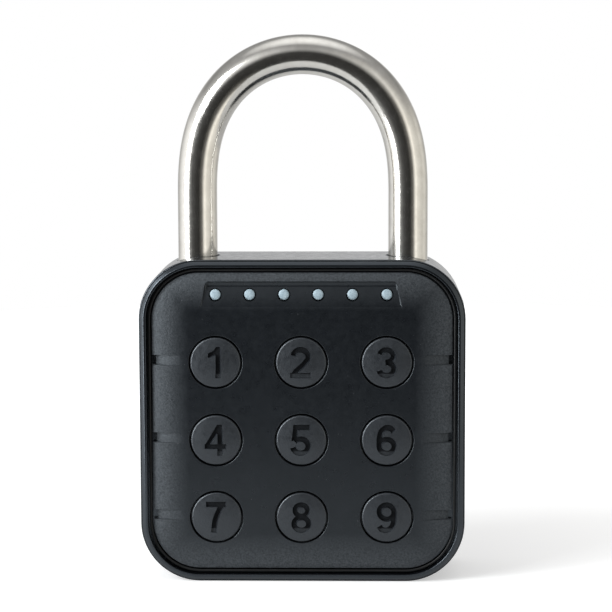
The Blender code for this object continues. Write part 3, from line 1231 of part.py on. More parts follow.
def make_reader(glass_look, bezel_look, board_look, steel_look, ribbon_look):
    """The finger reader behind a round hole in the case's back."""
    glass_back = CASE_BACK - READER_SETBACK
    reader = [
        (READER_BASE_RADIUS, READER_BASE_FRONT),
        (READER_BASE_RADIUS, READER_BASE_BACK),
        (READER_RADIUS, READER_BASE_BACK),
        (READER_RADIUS, glass_back),
    ]
    bm = bmesh.new()
    turned(bm, reader, "Y", (0, 0, READER_Z), ROUND_SIDES)
    piece("fingerprint_sensor", bm, glass_look)

    bm = bmesh.new()
    bezel_outer = READER_RADIUS + SEAT_GAP + BEZEL_WALL
    bezel = [
        (BEZEL_FLANGE_RADIUS, BEZEL_FLANGE_FRONT),
        (BEZEL_FLANGE_RADIUS, BEZEL_FLANGE_BACK),
        (bezel_outer, BEZEL_FLANGE_BACK),
        (bezel_outer, CASE_BACK - BEZEL_SETBACK),
    ]
    turned(bm, bezel, "Y", (0, 0, READER_Z), ROUND_SIDES)
    ring = piece("sensor_bezel", bm, bezel_look)
    bm = bmesh.new()
    low = (-EAR_REACH, BEZEL_FLANGE_FRONT, READER_Z - EAR_HALF_HEIGHT)
    block(bm, low, (EAR_REACH, BEZEL_FLANGE_BACK, READER_Z + EAR_HALF_HEIGHT))
    for side in (-1, 1):
        post = [(EAR_POST_RADIUS, READER_BASE_FRONT), (EAR_POST_RADIUS, BEZEL_FLANGE_BACK)]
        turned(bm, post, "Y", (side * EAR_SCREW_X, 0, READER_Z), SMALL_ROUND_SIDES)
    join(ring, "add_bezel_ears", bm)
    bm = bmesh.new()
    window = READER_RADIUS + SEAT_GAP
    hole = [(window, READER_BASE_FRONT - CUT_OVERRUN), (window, CASE_BACK + CUT_OVERRUN)]
    turned(bm, hole, "Y", (0, 0, READER_Z), ROUND_SIDES)
    ear_holes(bm, READER_BASE_FRONT - CUT_OVERRUN, BEZEL_FLANGE_BACK + CUT_OVERRUN)
    cut(ring, "cut_bezel_holes", bm)

    bm = bmesh.new()
    disc = [(READER_BASE_RADIUS, READER_BOARD_FRONT), (READER_BASE_RADIUS, READER_BOARD_BACK)]
    turned(bm, disc, "Y", (0, 0, READER_Z), ROUND_SIDES)
    board = piece("sensor_board", bm, board_look)
    bm = bmesh.new()
    low = (-EAR_REACH, READER_BOARD_FRONT, READER_Z - EAR_HALF_HEIGHT)
    block(bm, low, (EAR_REACH, READER_BOARD_BACK, READER_Z + EAR_HALF_HEIGHT))
    join(board, "add_board_ears", bm)
    bm = bmesh.new()
    ear_holes(bm, READER_BOARD_FRONT - CUT_OVERRUN, READER_BOARD_BACK + CUT_OVERRUN)
    cut(board, "cut_board_ear_holes", bm)

    plate_screws("sensor_screw", READER_BOARD_FRONT - SEAT_GAP, EAR_SCREW_X, READER_Z, steel_look)

    bm = bmesh.new()
    start_y = READER_BOARD_FRONT - SEAT_GAP - RIBBON_THICKNESS
    wall_x = -BLOCK_INNER_X + CRADLE_ARM
    knots = [
        (-READER_RADIUS, start_y, 0),
        (-READER_BASE_RADIUS, start_y, 0),
        (wall_x, start_y - READER_BASE_RADIUS / 2, 0),
        (wall_x, 0, 0),
        (wall_x, CHIP_FRONT, 0),
    ]
    middle = [(p.x, p.y) for p in smooth_route(knots, EDGE_STEPS)]
    strip = offset_line(middle, RIBBON_THICKNESS / 2) + offset_line(middle, -RIBBON_THICKNESS / 2)[::-1]
    strip_low = READER_Z - READER_BASE_RADIUS + RIBBON_THICKNESS
    prism_z(bm, strip, strip_low, strip_low + RIBBON_WIDTH)
    piece("sensor_ribbon", bm, ribbon_look)


def ear_holes(bm, front, back):
    """Two clearance holes for the reader's screws."""
    radius = PLATE_SCREW_RADIUS + SEAT_GAP
    hole = [(radius, front), (radius, back)]
    for side in (-1, 1):
        turned(bm, hole, "Y", (side * EAR_SCREW_X, 0, READER_Z), SMALL_ROUND_SIDES)


def offset_line(line, distance):
    """A line moved sideways by a distance, point by point."""
    moved = []
    for i, (x, y) in enumerate(line):
        before, after = line[max(i - 1, 0)], line[min(i + 1, len(line) - 1)]
        length = math.hypot(after[0] - before[0], after[1] - before[1])
        across = ((before[1] - after[1]) / length, (after[0] - before[0]) / length)
        moved.append((x + across[0] * distance, y + across[1] * distance))
    return moved


def main():
    for old in list(bpy.data.objects):
        bpy.data.objects.remove(old, do_unlink=True)

    black_case = material("black_case", (0.013, 0.015, 0.018), 0.38, 0)
    black_panel = material("black_panel", (0.018, 0.021, 0.026), 0.62, 0)
    key_plastic = material("key_plastic", (0.026, 0.029, 0.035), 0.58, 0)
    black_rubber = material("black_rubber", (0.02, 0.021, 0.023), 0.7, 0)
    grey_silicone = material("grey_silicone", (0.35, 0.36, 0.37), 0.6, 0)
    lamp_plastic = material("lamp_plastic", (0.45, 0.56, 0.62), 0.4, 0)
    lamp_chip = material("lamp_chip", (0.8, 0.75, 0.45), 0.4, 0)
    polished_steel = material("polished_steel", (0.68, 0.67, 0.64), 0.14, 1)
    plain_steel = material("plain_steel", (0.52, 0.52, 0.52), 0.35, 1)
    spring_steel = material("spring_steel", (0.42, 0.42, 0.43), 0.3, 1)
    brass = material("brass", (0.7, 0.52, 0.22), 0.32, 1)
    green_board = material("green_board", (0.02, 0.16, 0.07), 0.4, 0)
    chip_black = material("chip_black", (0.03, 0.03, 0.032), 0.5, 0)
    motor_steel = material("motor_steel", (0.6, 0.6, 0.6), 0.3, 1)
    grey_plastic = material("grey_plastic", (0.2, 0.2, 0.21), 0.5, 0)
    battery_wrap = material("battery_wrap", (0.04, 0.16, 0.42), 0.35, 0)
    nickel = material("nickel", (0.66, 0.63, 0.58), 0.25, 1)
    red_wire = material("red_wire", (0.5, 0.03, 0.02), 0.45, 0)
    blue_wire = material("blue_wire", (0.03, 0.08, 0.4), 0.45, 0)
    reader_glass = material("reader_glass", (0.012, 0.012, 0.014), 0.16, 0)
    bezel_metal = material("bezel_metal", (0.3, 0.3, 0.31), 0.28, 1)
    amber_film = material("amber_film", (0.5, 0.22, 0.03), 0.4, 0)

    make_case(black_case)
    make_panel(black_panel)
    make_gasket(black_rubber)
    make_keys(key_plastic)
    make_mat(grey_silicone)
    make_lamps(lamp_plastic, lamp_chip)
    make_board(green_board, chip_black, plain_steel)
    make_shackle(polished_steel)
    make_heel_parts(plain_steel, spring_steel, black_rubber)
    make_bolts(plain_steel, spring_steel)
    make_cam(brass, plain_steel)
    make_motor(motor_steel, grey_plastic, plain_steel)
    make_cover_screw(plain_steel)
    make_battery(battery_wrap, nickel, (red_wire, blue_wire))
    make_port(nickel, black_rubber)
    make_reader(reader_glass, bezel_metal, green_board, plain_steel, amber_film)


main()
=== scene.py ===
"""Looks of a keypad padlock with a round steel bow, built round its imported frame.

Metres, +Z up, the keypad faces -Y. Every piece is drawn where it stands at rest.
"""

import json
import math

import bmesh
import bpy
from mathutils import Matrix, Vector


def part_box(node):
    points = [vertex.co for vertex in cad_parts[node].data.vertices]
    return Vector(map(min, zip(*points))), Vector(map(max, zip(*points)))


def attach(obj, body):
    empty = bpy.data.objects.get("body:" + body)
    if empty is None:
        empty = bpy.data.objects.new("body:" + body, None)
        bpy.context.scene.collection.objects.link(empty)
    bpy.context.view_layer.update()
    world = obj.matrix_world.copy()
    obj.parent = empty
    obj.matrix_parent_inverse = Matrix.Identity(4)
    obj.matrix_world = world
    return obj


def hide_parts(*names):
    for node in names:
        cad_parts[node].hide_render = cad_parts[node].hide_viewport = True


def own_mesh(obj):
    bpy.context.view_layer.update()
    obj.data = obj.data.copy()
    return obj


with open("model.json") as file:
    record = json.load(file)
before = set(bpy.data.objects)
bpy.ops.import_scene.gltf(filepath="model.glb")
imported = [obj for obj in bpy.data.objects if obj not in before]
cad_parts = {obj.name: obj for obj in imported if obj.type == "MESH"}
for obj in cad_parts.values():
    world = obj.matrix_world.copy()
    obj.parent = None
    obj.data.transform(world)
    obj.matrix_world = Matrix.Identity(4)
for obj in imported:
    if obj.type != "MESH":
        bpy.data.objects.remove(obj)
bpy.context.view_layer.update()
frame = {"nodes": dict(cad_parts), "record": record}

# Fits
SEAT_GAP = 0.0003
OVERRUN = 0.002
ROUND_SIDES = 96
CORNER_STEPS = 20

# Case, its rim as (depth behind the front, inset from the side)
BODY_WIDTH = 0.0654
BODY_HEIGHT = 0.0654
BODY_CORNER_RADIUS = 0.012
CASE_FRONT = -0.0105
CASE_BACK = 0.011
RIM_WIDTH = 0.0015
RIM_PROFILE = (
    (0.0011, 0), (0.0009, 0.00004), (0.00076, 0.00012), (0.00072, 0.0002), (0.0008, 0.00025),
    (0.0008, 0.0003), (0.0006, 0.00034), (0.0005, 0.00042), (0.000455, 0.000475),
    (0.00008, 0.00094), (0.000045, 0.00099), (0.00003, 0.00105), (0, 0.0013),
)
RIM_LIP_ROUNDING = 0.00016
BACK_ROUNDING = 0.003
CASE_WALL = 0.0037
BACK_WALL = 0.002
MID_Z = BODY_HEIGHT / 2
CAVITY_BACK = CASE_BACK - BACK_WALL
CAVITY_TOP = BODY_HEIGHT - CASE_WALL
BLOCK_FRONT = -0.0052
BLOCK_INNER_X = 0.0152
BATTERY_ROOF_Z = 0.0145
LUG_ROOF_Z = 0.047
GUIDE_INNER_X = 0.0115

# Bores, their seals and the screw under the short leg
BORE_RADIUS = 0.0043
BORE_CHAMFER = 0.0003
HEEL_FLOOR_Z = 0.0185
TOE_SEAT_Z = 0.0521
HEAD_SEAT_Z = 0.05
HEAD_HOLE_RADIUS = 0.0028
SHANK_HOLE_RADIUS = 0.00155
SEAL_TOP_Z = 0.0626
SEAL_HEIGHT = 0.0012
SEAL_WALL = 0.0007
SEAL_LIP = 0.0003

# Keys
KEY_PITCH_X = 0.01715
KEY_PITCH_Z = 0.01575
KEY_MIDDLE_Z = MID_Z - 0.0036
FACE_SHIFT_X = -0.00015
KEY_FRONT = CASE_FRONT - 0.0005
KEY_CAP_RADIUS = 0.00505
KEY_EDGE_ROUNDING = 0.00038
KEY_DOME_DROP = 0.00042
KEY_HOLE_RADIUS = 0.00537
KEY_FLANGE_RADIUS = 0.006
KEY_FLANGE_FRONT = -0.0082
KEY_FLANGE_BACK = -0.0076
DIGIT_DEPTH = 0.0006
DIGIT_LEAN = (-0.00028, 0.00012)
DIGIT_REACH = 0.0042
DIGIT_SURFACE_SKIN = 0.00003
DIGIT_FLOOR_SAG = 0.0002
DIGIT_FLOOR_REACH = 0.75
DIGIT_LOW_SHARE = 0.75
DIGIT_FACING = 0.35
DIGIT_HALF_SHADE = 0.35
DIGIT_HALF_HEIGHT = 0.00315

# Face plate
PLATE_BACK = -0.0085
PLATE_MARGIN = 0.0075
PLATE_DROP = 0.0011
PLATE_EDGE_FRONT = CASE_FRONT + PLATE_DROP
PLATE_EDGE_ROUNDING = 0.00022
PLATE_FLAT_RADIUS = 0.0045
GASKET_WALL = 0.0005
GASKET_STEP_BACK = 0.0001
GASKET_DEPTH = 0.0005
GASKET_CROWN = 0.00015
PLATE_INSET = 2 * SEAT_GAP + GASKET_WALL
PLATE_HALF = BODY_WIDTH / 2 - RIM_WIDTH - PLATE_INSET
PLATE_RADIUS = BODY_CORNER_RADIUS - RIM_WIDTH - PLATE_INSET
HOLE_LIP = 0.00016
GROOVE_HEIGHT = 0.00205
GROOVE_LENGTH = 0.0061
GROOVE_DEPTH = 0.00072
GROOVE_RISE = 0.0004
GROOVE_NOTCH_LENGTH = 0.00075
GROOVE_NOTCH_DEPTH = 0.0005
GROOVE_NOTCH_INSET = 0.0001
HOOK_OFFSET_X = 0.014
HOOK_WIDTH = 0.006
HOOK_THICKNESS = 0.001
HOOK_BITE = 0.0008
HOOK_BACK = -0.0064
HOOK_NOSE_FRONT = HOOK_BACK - HOOK_THICKNESS
HOOK_FLOOR_Z = CASE_WALL + SEAT_GAP
POST_OFFSET_X = 0.025
POST_LOW_Z = 0.0075
PEG_Z = 0.0525
POST_RADIUS = 0.0016
POST_BACK = -0.0064
PEG_RADIUS = 0.0006
PEG_BACK = -0.0055
LUG_LEFT_X = 0.0179
LUG_WEB_X = 0.02375
LUG_RIGHT_X = 0.02825
LUG_BACK = 0.0035
LUG_LOW_Z = 0.0417
LUG_TOP_Z = 0.0467

# Mat and springs
MAT_THICKNESS = 0.0004
MAT_CORNER_RADIUS = 0.002
DOME_FOOT_RADIUS = 0.0038
DOME_TOP_RADIUS = 0.0022
BOLT_SPRING_RADIUS = 0.0031
BOLT_SPRING_WIRE = 0.0003
BOLT_SPRING_TURNS = 4
BOLT_SPRING_STEPS = 28

# Lamps, the side of their recess as (depth behind the front, inset)
LAMP_COUNT = 6
LAMP_PITCH = 0.00685
LAMP_RADIUS = 0.00108
LAMP_DOME = 0.00025
LAMP_HOLE_RADIUS = 0.0013
LAMP_Z = 0.0584
LAMP_BAR_FRONT = -0.0082
LAMP_BAR_BACK = -0.0076
LAMP_BAR_HALF_HEIGHT = 0.0015
LAMP_BAR_OVERHANG = 0.002
LAMP_BAR_CORNER = 0.0004
RECESS_TOP_Z = 0.06135
RECESS_FOOT_Z = 0.05995
RECESS_END_Z = 0.05495
RECESS_HALF_WIDTH = 0.0194
RECESS_DEPTH = 0.0012
RECESS_CORNER_RADIUS = 0.0015
RECESS_FLARE = 0.0009
RECESS_FLARE_POWER = 1.5
RECESS_FLOOR_POWER = 1.7
RECESS_SKIN = 0.00008
RECESS_SIDE = (
    (0.0024, 0.0007), (0.00105, 0.00065), (0.001, 0.0004), (0.0009, 0.00022), (0.00075, 0.00012),
    (0.0003, 0), (0.00016, -0.0001), (0.00006, -0.00025), (0, -0.00045), (-0.001, -0.0005),
)

# Bow
ROD_RADIUS = 0.004
ROD_SIDES = 72
ROD_UV_LENGTH = 0.02
LEG_OFFSET = 0.02135
LEG_END_CHAMFER = 0.0008
LEG_END_SHARES = (0, 0.35, 0.65, 0.88, 1)
LEG_END_POWER = 1.6
STRAIGHT_STEPS = 10
ARCH_START = 0.012
ARCH_RISE = 0.0286
ARCH_POWER = 2.6
ARCH_STEPS = 120
HEEL_BOTTOM_Z = BODY_HEIGHT - 0.0289
TOE_BOTTOM_Z = BODY_HEIGHT - 0.013
BOLT_Z = 0.0575
BOLT_RADIUS = 0.0025
NECK_Z = BOLT_Z - 0.0145
NECK_HALF_HEIGHT = 0.003
NECK_CHAMFER = 0.0006
NOTCH_X = 0.019
NECK_RADIUS = LEG_OFFSET - NOTCH_X
PIN_X = -0.02535
PIN_Z = 0.0558
PIN_RADIUS = 0.001
PIN_END = 0.0055

# Charging port and its plug
PORT_Y = -0.0036
PORT_WIDTH = 0.00894
PORT_HEIGHT = 0.0032
PORT_CORNER = 0.0006
PORT_CHAMFER = 0.0002
PLUG_WIDTH = 0.013
PLUG_HEIGHT = 0.0048
PLUG_CORNER = 0.0004
PLUG_ROUNDING = 0.00025
PLUG_LOW_Z = 0.0002
PLUG_TOP_Z = 0.001
PLUG_RECESS_Z = 0.0013
NOSE_HALF_WIDTH = 0.0038
NOSE_HALF_HEIGHT = 0.0012
NOSE_CORNER = 0.0006
NOSE_TAPER = 0.0002
NOSE_LENGTH = 0.0006
PULL_HALF_WIDTH = 0.0006
PULL_HALF_HEIGHT = 0.0013
PULL_CORNER = 0.0005
PULL_INSET = 0.0016
PULL_DEPTH = 0.0003
HINGE_INSET = 0.0012
HINGE_WIDTH = 0.0003
HINGE_DEPTH = 0.0002

# Finger reader
READER_Z = 0.044
READER_RADIUS = 0.006
READER_HOLE_RADIUS = 0.008
READER_BASE_RADIUS = 0.0082
READER_BASE_FRONT = 0.0064
READER_BASE_BACK = 0.0074
GLASS_BACK = CASE_BACK - 0.0004
GLASS_ROUNDING = 0.0003
GLASS_CROWN = 0.00012
BEZEL_OUTER = 0.0077
BEZEL_BACK = CASE_BACK - 0.0001
BEZEL_CHAMFER = 0.00025
BEZEL_SLOPE_WIDTH = 0.0007
BEZEL_SLOPE_DEPTH = 0.0006
BEZEL_FLANGE_RADIUS = 0.009
EAR_START = 0.0072
EAR_REACH = 0.0123
EAR_HALF_HEIGHT = 0.0026
EAR_SCREW_X = 0.0102
EAR_SCREW_HOLE = 0.0011
EAR_POST_RADIUS = 0.0018
EAR_FRONT = 0.0077
EAR_BACK = 0.0087

# Studio: rings of light round the horizon as (azimuth from the camera, brightness, warmth)
FLOOR_RADIUS = 0.3
FLOOR_BACK = 0.17
FLOOR_COLOUR = (0.7, 0.7, 0.7)
GLOW_START = 0.04
GLOW_END = 0.24
GLOW_NEAR = 0.45
LOW_RING = (
    (-180, 0.95, 0), (-140, 0.5, 0), (-110, 1, 0), (-90, 1.3, 0), (-72, 1.1, 0), (-58, 0.5, 0),
    (-45, 0.25, 0), (-30, 0.09, 0), (-12, 0.05, 0.3), (12, 0.03, 0.6), (30, 0.2, 1), (45, 1.4, 1),
    (58, 1, 1), (72, 0.88, 1), (90, 0.76, 1), (110, 0.88, 1), (140, 0.5, 0.5),
)
MIDDLE_RING = (
    (-180, 0.3, 0), (-120, 0.3, 0), (-75, 0.6, 0), (-40, 1.4, 0),
    (0, 0.4, 0), (40, 0.9, 0.6), (75, 0.5, 0.6), (120, 0.3, 0.3),
)
HIGH_RING = ((-180, 0.4, 0), (-90, 0.4, 0), (0, 0.35, 0), (90, 0.4, 0))
TOP = ((-180, 1.3, 0), (0, 1.3, 0))
WARM_LOSS = (0, 0.03, 0.1)
BANDS = ((MIDDLE_RING, 0.2, 0.5), (HIGH_RING, 0.5, 0.82), (TOP, 0.82, 1))
LIGHT_DISTANCE = 0.5
LIGHT_TARGET = (0, 0, 0.05)
LIGHT_COLOUR = (0.96, 0.985, 1)
LIGHTS = (("left_strip", -62, 8, (0.16, 0.5), 3.1), ("left_softbox", -50, 30, (0.2, 0.2), 1.1))
CAMERA_DISTANCE = 0.43
CAMERA_AZIMUTH = 1.431
CAMERA_ELEVATION = 6.863
CAMERA_ROLL = -0.19
CAMERA_TARGET = (0.0006, 0, 0.05497)
FOCAL_PIXELS = 2107
IMAGE_WIDTH = 612
SENSOR_WIDTH = 36


def arc(centre_u, centre_v, radius_u, radius_v, start, end, steps):
    """Points on an elliptic arc, from start to end in degrees, both included."""
    points = []
    for i in range(steps + 1):
        angle = math.radians(start + (end - start) * i / steps)
        points.append((centre_u + radius_u * math.cos(angle), centre_v + radius_v * math.sin(angle)))
    return points


def rounded(half_u, half_v, radius, steps, centre_u=0, centre_v=0):
    """A rectangle with round corners, as points that run anticlockwise."""
    points = []
    for quarter, (side_u, side_v) in enumerate(((1, 1), (-1, 1), (-1, -1), (1, -1))):
        corner = (centre_u + side_u * (half_u - radius), centre_v + side_v * (half_v - radius))
        points += arc(*corner, radius, radius, quarter * 90, quarter * 90 + 90, steps)
    return points


def circle(radius, sides, centre_u=0, centre_v=0):
    return arc(centre_u, centre_v, radius, radius, 0, 360, sides)[:-1]


def lips(size, angles):
    """(inset, drop) along a quarter round, by angles in degrees from its side to its front."""
    turns = [math.radians(angle) for angle in angles]
    return [(size * (1 - math.cos(turn)), size * (1 - math.sin(turn))) for turn in turns]


def stacked(bm, rings, closed=False):
    """A body through rings of equally many points, capped at both ends or closed on itself."""
    loops = [[bm.verts.new(point) for point in ring] for ring in rings]
    count = len(loops[0])
    for low, high in zip(loops, loops[1:] + loops[:1] if closed else loops[1:]):
        for i in range(count):
            j = (i + 1) % count
            bm.faces.new((low[i], low[j], high[j], high[i]))
    if not closed:
        bm.faces.new(list(reversed(loops[0])))
        bm.faces.new(loops[-1])
    return loops


def prism_y(outline, low_y, high_y):
    return [[(u, y, v) for u, v in outline] for y in (high_y, low_y)]


def prism_z(outline, low_z, high_z):
    return [[(u, v, z) for u, v in outline] for z in (low_z, high_z)]


def prism_x(outline, low_x, high_x):
    return [[(x, u, v) for u, v in outline] for x in (low_x, high_x)]


def bar(left, low, right, high):
    return [(left, low), (right, low), (right, high), (left, high)]


def block(low, high):
    return prism_z(bar(*low[:2], *high[:2]), low[2], high[2])


def turned(profile, axis, centre, sides=ROUND_SIDES):
    """The rings of a body turned from (radius, place along the axis)."""
    rings = []
    for radius, place in profile:
        points = circle(radius, sides)
        if axis == "Z":
            rings.append([(centre[0] + u, centre[1] + v, place) for u, v in points])
        elif axis == "Y":
            rings.append([(centre[0] + v, place, centre[2] + u) for u, v in points])
        else:
            rings.append([(place, centre[1] + u, centre[2] + v) for u, v in points])
    return rings


def mesh_object(name, bm, sharp=35):
    bmesh.ops.recalc_face_normals(bm, faces=bm.faces)
    mesh = bpy.data.meshes.new(name)
    bm.to_mesh(mesh)
    bm.free()
    mesh.shade_smooth()
    mesh.set_sharp_from_angle(angle=math.radians(sharp))
    made = bpy.data.objects.new(name, mesh)
    bpy.context.scene.collection.objects.link(made)
    return made


def solid(name, *bodies, closed=False, sharp=35):
    """A piece made of bodies, each given by its rings."""
    bm = bmesh.new()
    for rings in bodies:
        stacked(bm, rings, closed)
    return mesh_object(name, bm, sharp)


def boolean(made, helper, operation="DIFFERENCE"):
    """Applies a Boolean by a helper piece at once."""
    change = made.modifiers.new("shape", "BOOLEAN")
    change.operation = operation
    change.solver = "EXACT"
    change.use_self = True
    change.object = helper
    apply_all(made)
    bpy.data.objects.remove(helper, do_unlink=True)


def cut(made, *bodies, operation="DIFFERENCE"):
    boolean(made, solid("helper", *bodies), operation)


def apply_all(made):
    """Turns what the modifiers make into the piece's own mesh."""
    graph = bpy.context.evaluated_depsgraph_get()
    graph.update()
    mesh = bpy.data.meshes.new_from_object(made.evaluated_get(graph))
    made.modifiers.clear()
    old = made.data
    made.data = mesh
    bpy.data.meshes.remove(old)


def mark_painted_shade(made, depth_of):
    """Stores for each face how much painted shade it gets, from its centre and normal."""
    marks = made.data.attributes.new("painted_shade", "FLOAT", "FACE")
    for polygon in made.data.polygons:
        marks.data[polygon.index].value = depth_of(polygon.center, polygon.normal)


def dress(made, body, slot, *nodes, look=None, sharp=35):
    """Gives a piece the body it rides on and the material of its slot or of the look named, evens its
    shading, and hides the nodes it replaces.
    """
    made.data.materials.clear()
    made.data.materials.append(LOOKS[look or slot].material)
    made.data.shade_smooth()
    made.data.set_sharp_from_angle(angle=math.radians(sharp))
    even = made.modifiers.new("even_shading", "WEIGHTED_NORMAL")
    even.keep_sharp = True
    apply_all(made)
    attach(made, body)
    if nodes:
        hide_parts(*nodes)


# Materials


class Graph:
    """Short ways to add and link the nodes of a tree."""

    def __init__(self, tree):
        self.nodes, self.links = tree.nodes, tree.links

    def feed(self, node, feeds):
        """Gives each named socket of a node its value, its colour without alpha, or its link."""
        for name, value in feeds.items():
            socket = node.inputs[name]
            if isinstance(value, bpy.types.NodeSocket):
                self.links.new(value, socket)
            else:
                socket.default_value = (*value, 1) if socket.type == "RGBA" else value

    def node(self, kind, feeds=None, **settings):
        made = self.nodes.new(kind)
        for name, value in settings.items():
            setattr(made, name, value)
        self.feed(made, feeds or {})
        return made

    def spread(self, source, from_low, from_high, to_low, to_high, curve="LINEAR"):
        """A value mapped from one range to another and clamped."""
        feeds = {"From Min": from_low, "From Max": from_high, "To Min": to_low, "To Max": to_high}
        feeds["Value"] = source
        return self.node("ShaderNodeMapRange", feeds, interpolation_type=curve).outputs["Result"]

    def combine(self, first, second, operation="MULTIPLY"):
        return self.node("ShaderNodeMath", {0: first, 1: second}, operation=operation).outputs["Value"]

    def mixed(self, factor, first, second):
        """A colour between two, by a factor."""
        feeds = {"Factor": factor, 6: first, 7: second}
        return self.node("ShaderNodeMix", feeds, data_type="RGBA").outputs[2]


class Look(Graph):
    """A procedural material in the piece's own space."""

    def __init__(self, name, colour, roughness, metallic=0, **sockets):
        self.material = bpy.data.materials.new(name)
        self.material.use_nodes = True
        super().__init__(self.material.node_tree)
        self.shader = self.nodes["Principled BSDF"]
        self.shade(colour, roughness, Metallic=metallic, **sockets)
        self.place = self.node("ShaderNodeTexCoord").outputs["Object"]
        self.normal = None

    def shade(self, colour, roughness, **sockets):
        """Sets or links the shader's colour, roughness and other sockets."""
        feeds = {name.replace("_", " "): value for name, value in sockets.items()}
        self.feed(self.shader, {"Base Color": colour, "Roughness": roughness, **feeds})

    def stretched(self, scale, source=None):
        feeds = {"Scale": scale, "Vector": source or self.place}
        return self.node("ShaderNodeMapping", feeds).outputs["Vector"]

    def noise(self, scale, detail=3, roughness=0.5, source=None, distortion=0):
        feeds = {"Scale": scale, "Detail": detail, "Roughness": roughness, "Distortion": distortion}
        feeds["Vector"] = source or self.place
        return self.node("ShaderNodeTexNoise", feeds).outputs["Fac"]

    def patches(self, scale, detail=3, roughness=0.5, low=0, high=1, edges=(0.3, 0.7)):
        """Soft patches of noise, spread from low to high."""
        return self.spread(self.noise(scale, detail, roughness), *edges, low, high)

    def mottled(self, share, colour, scale, edges=(0.3, 0.7)):
        """A colour with soft patches that have a share of its brightness."""
        darker = tuple(part * share for part in colour)
        return self.mixed(self.patches(scale, 4, edges=edges), darker, colour)

    def cells(self, scale, feature="F1"):
        feeds = {"Scale": scale, "Vector": self.place}
        return self.node("ShaderNodeTexVoronoi", feeds, feature=feature).outputs["Distance"]

    def dusty(self, base, colour, cells, edges, amount, clouds, cloud_edges):
        """A colour with dust specks that gather in loose clouds."""
        dust = self.spread(self.cells(cells), *edges, 0, amount)
        dust = self.combine(dust, self.patches(clouds, 2, edges=cloud_edges))
        return self.mixed(dust, base, colour)

    def painted_shade(self):
        return self.node("ShaderNodeAttribute", attribute_name="painted_shade").outputs["Fac"]

    def bump(self, height, distance):
        feeds = {"Strength": 1, "Distance": distance, "Height": height}
        if self.normal is not None:
            feeds["Normal"] = self.normal
        self.normal = self.node("ShaderNodeBump", feeds).outputs["Normal"]
        self.feed(self.shader, {"Normal": self.normal})


def painted(name):
    """Satin black paint on cast metal: faint orange peel and a few dust specks."""
    tint = (0.78, 0.89, 1)
    look = Look(name, (0.004, 0.0045, 0.0055), 0.22, Specular_IOR_Level=0.9, Specular_Tint=tint)
    base = look.mixed(look.patches(220, 4), (0.003, 0.0036, 0.0046), (0.0048, 0.0055, 0.0068))
    base = look.dusty(base, (0.12, 0.12, 0.12), 900, (0.05, 0), 0.35, 150, (0.55, 0.7))
    look.shade(base, look.patches(600, 4, low=0.19, high=0.25))
    look.bump(look.noise(1400, 3), 0.0000015)
    return look


def moulded(name, low, high, rough):
    """Matt moulded plastic: an eroded grain, faint mottling and a few dust specks."""
    look = Look(name, high, rough, Specular_IOR_Level=0.45)
    base = look.mixed(look.patches(260, 5, 0.6, edges=(0.32, 0.68)), low, high)
    base = look.dusty(base, (0.16, 0.17, 0.18), 1300, (0.06, 0), 0.3, 240, (0.56, 0.72))
    look.shade(base, look.patches(900, 4, low=rough - 0.07, high=rough + 0.07))
    look.bump(look.noise(3600, 3, 0.6), 0.000012)
    look.bump(look.noise(900, 2), 0.000012)
    return look


def face_plastic(name):
    """The plate's matt plastic: coarse eroded grain and rougher margins, with painted sheen: the margins
    are painted lighter in fine bright specks, standing in for the raking light and glints they catch.
    """
    tint = (0.84, 0.93, 1)
    look = Look(name, (0.006, 0.007, 0.009), 0.34, Specular_IOR_Level=0.55, Specular_Tint=tint)
    place = look.node("ShaderNodeSeparateXYZ", {"Vector": look.place}).outputs
    across = look.combine(place["X"], 0, "ABSOLUTE")
    upright = look.combine(look.combine(place["Z"], MID_Z, "SUBTRACT"), 0, "ABSOLUTE")
    margin = look.combine(across, upright, "MAXIMUM")
    margin = look.spread(margin, PLATE_HALF - PLATE_MARGIN, PLATE_HALF, 0, 1)
    # The painted sheen and the rougher margin stay off the lamp recess, which keeps it dark as painted
    # shade
    margin = look.combine(margin, look.combine(1, look.painted_shade(), "SUBTRACT"))
    mottle = look.patches(260, 5, 0.6, edges=(0.32, 0.68))
    base = look.mixed(mottle, (0.0042, 0.0052, 0.0068), (0.006, 0.0072, 0.0092))
    # Painted sheen: the margins are painted lighter in fine specks, as if lit by the raking light
    patchy = look.combine(margin, look.patches(2600, 4, 0.7, 0.2, 1, (0.36, 0.66)))
    base = look.mixed(patchy, base, (0.06, 0.066, 0.073))
    base = look.dusty(base, (0.22, 0.23, 0.25), 1300, (0.12, 0.04), 0.5, 1100, (0.6, 0.68))
    eroded = look.patches(900, 4, low=0.27, high=0.35)
    look.shade(base, look.combine(eroded, look.combine(margin, 0.26), "ADD"))
    grain = look.combine(look.noise(2800, 3, 0.65), look.spread(margin, 0, 0.5, 0.25, 1))
    look.bump(grain, 0.00006)
    return look


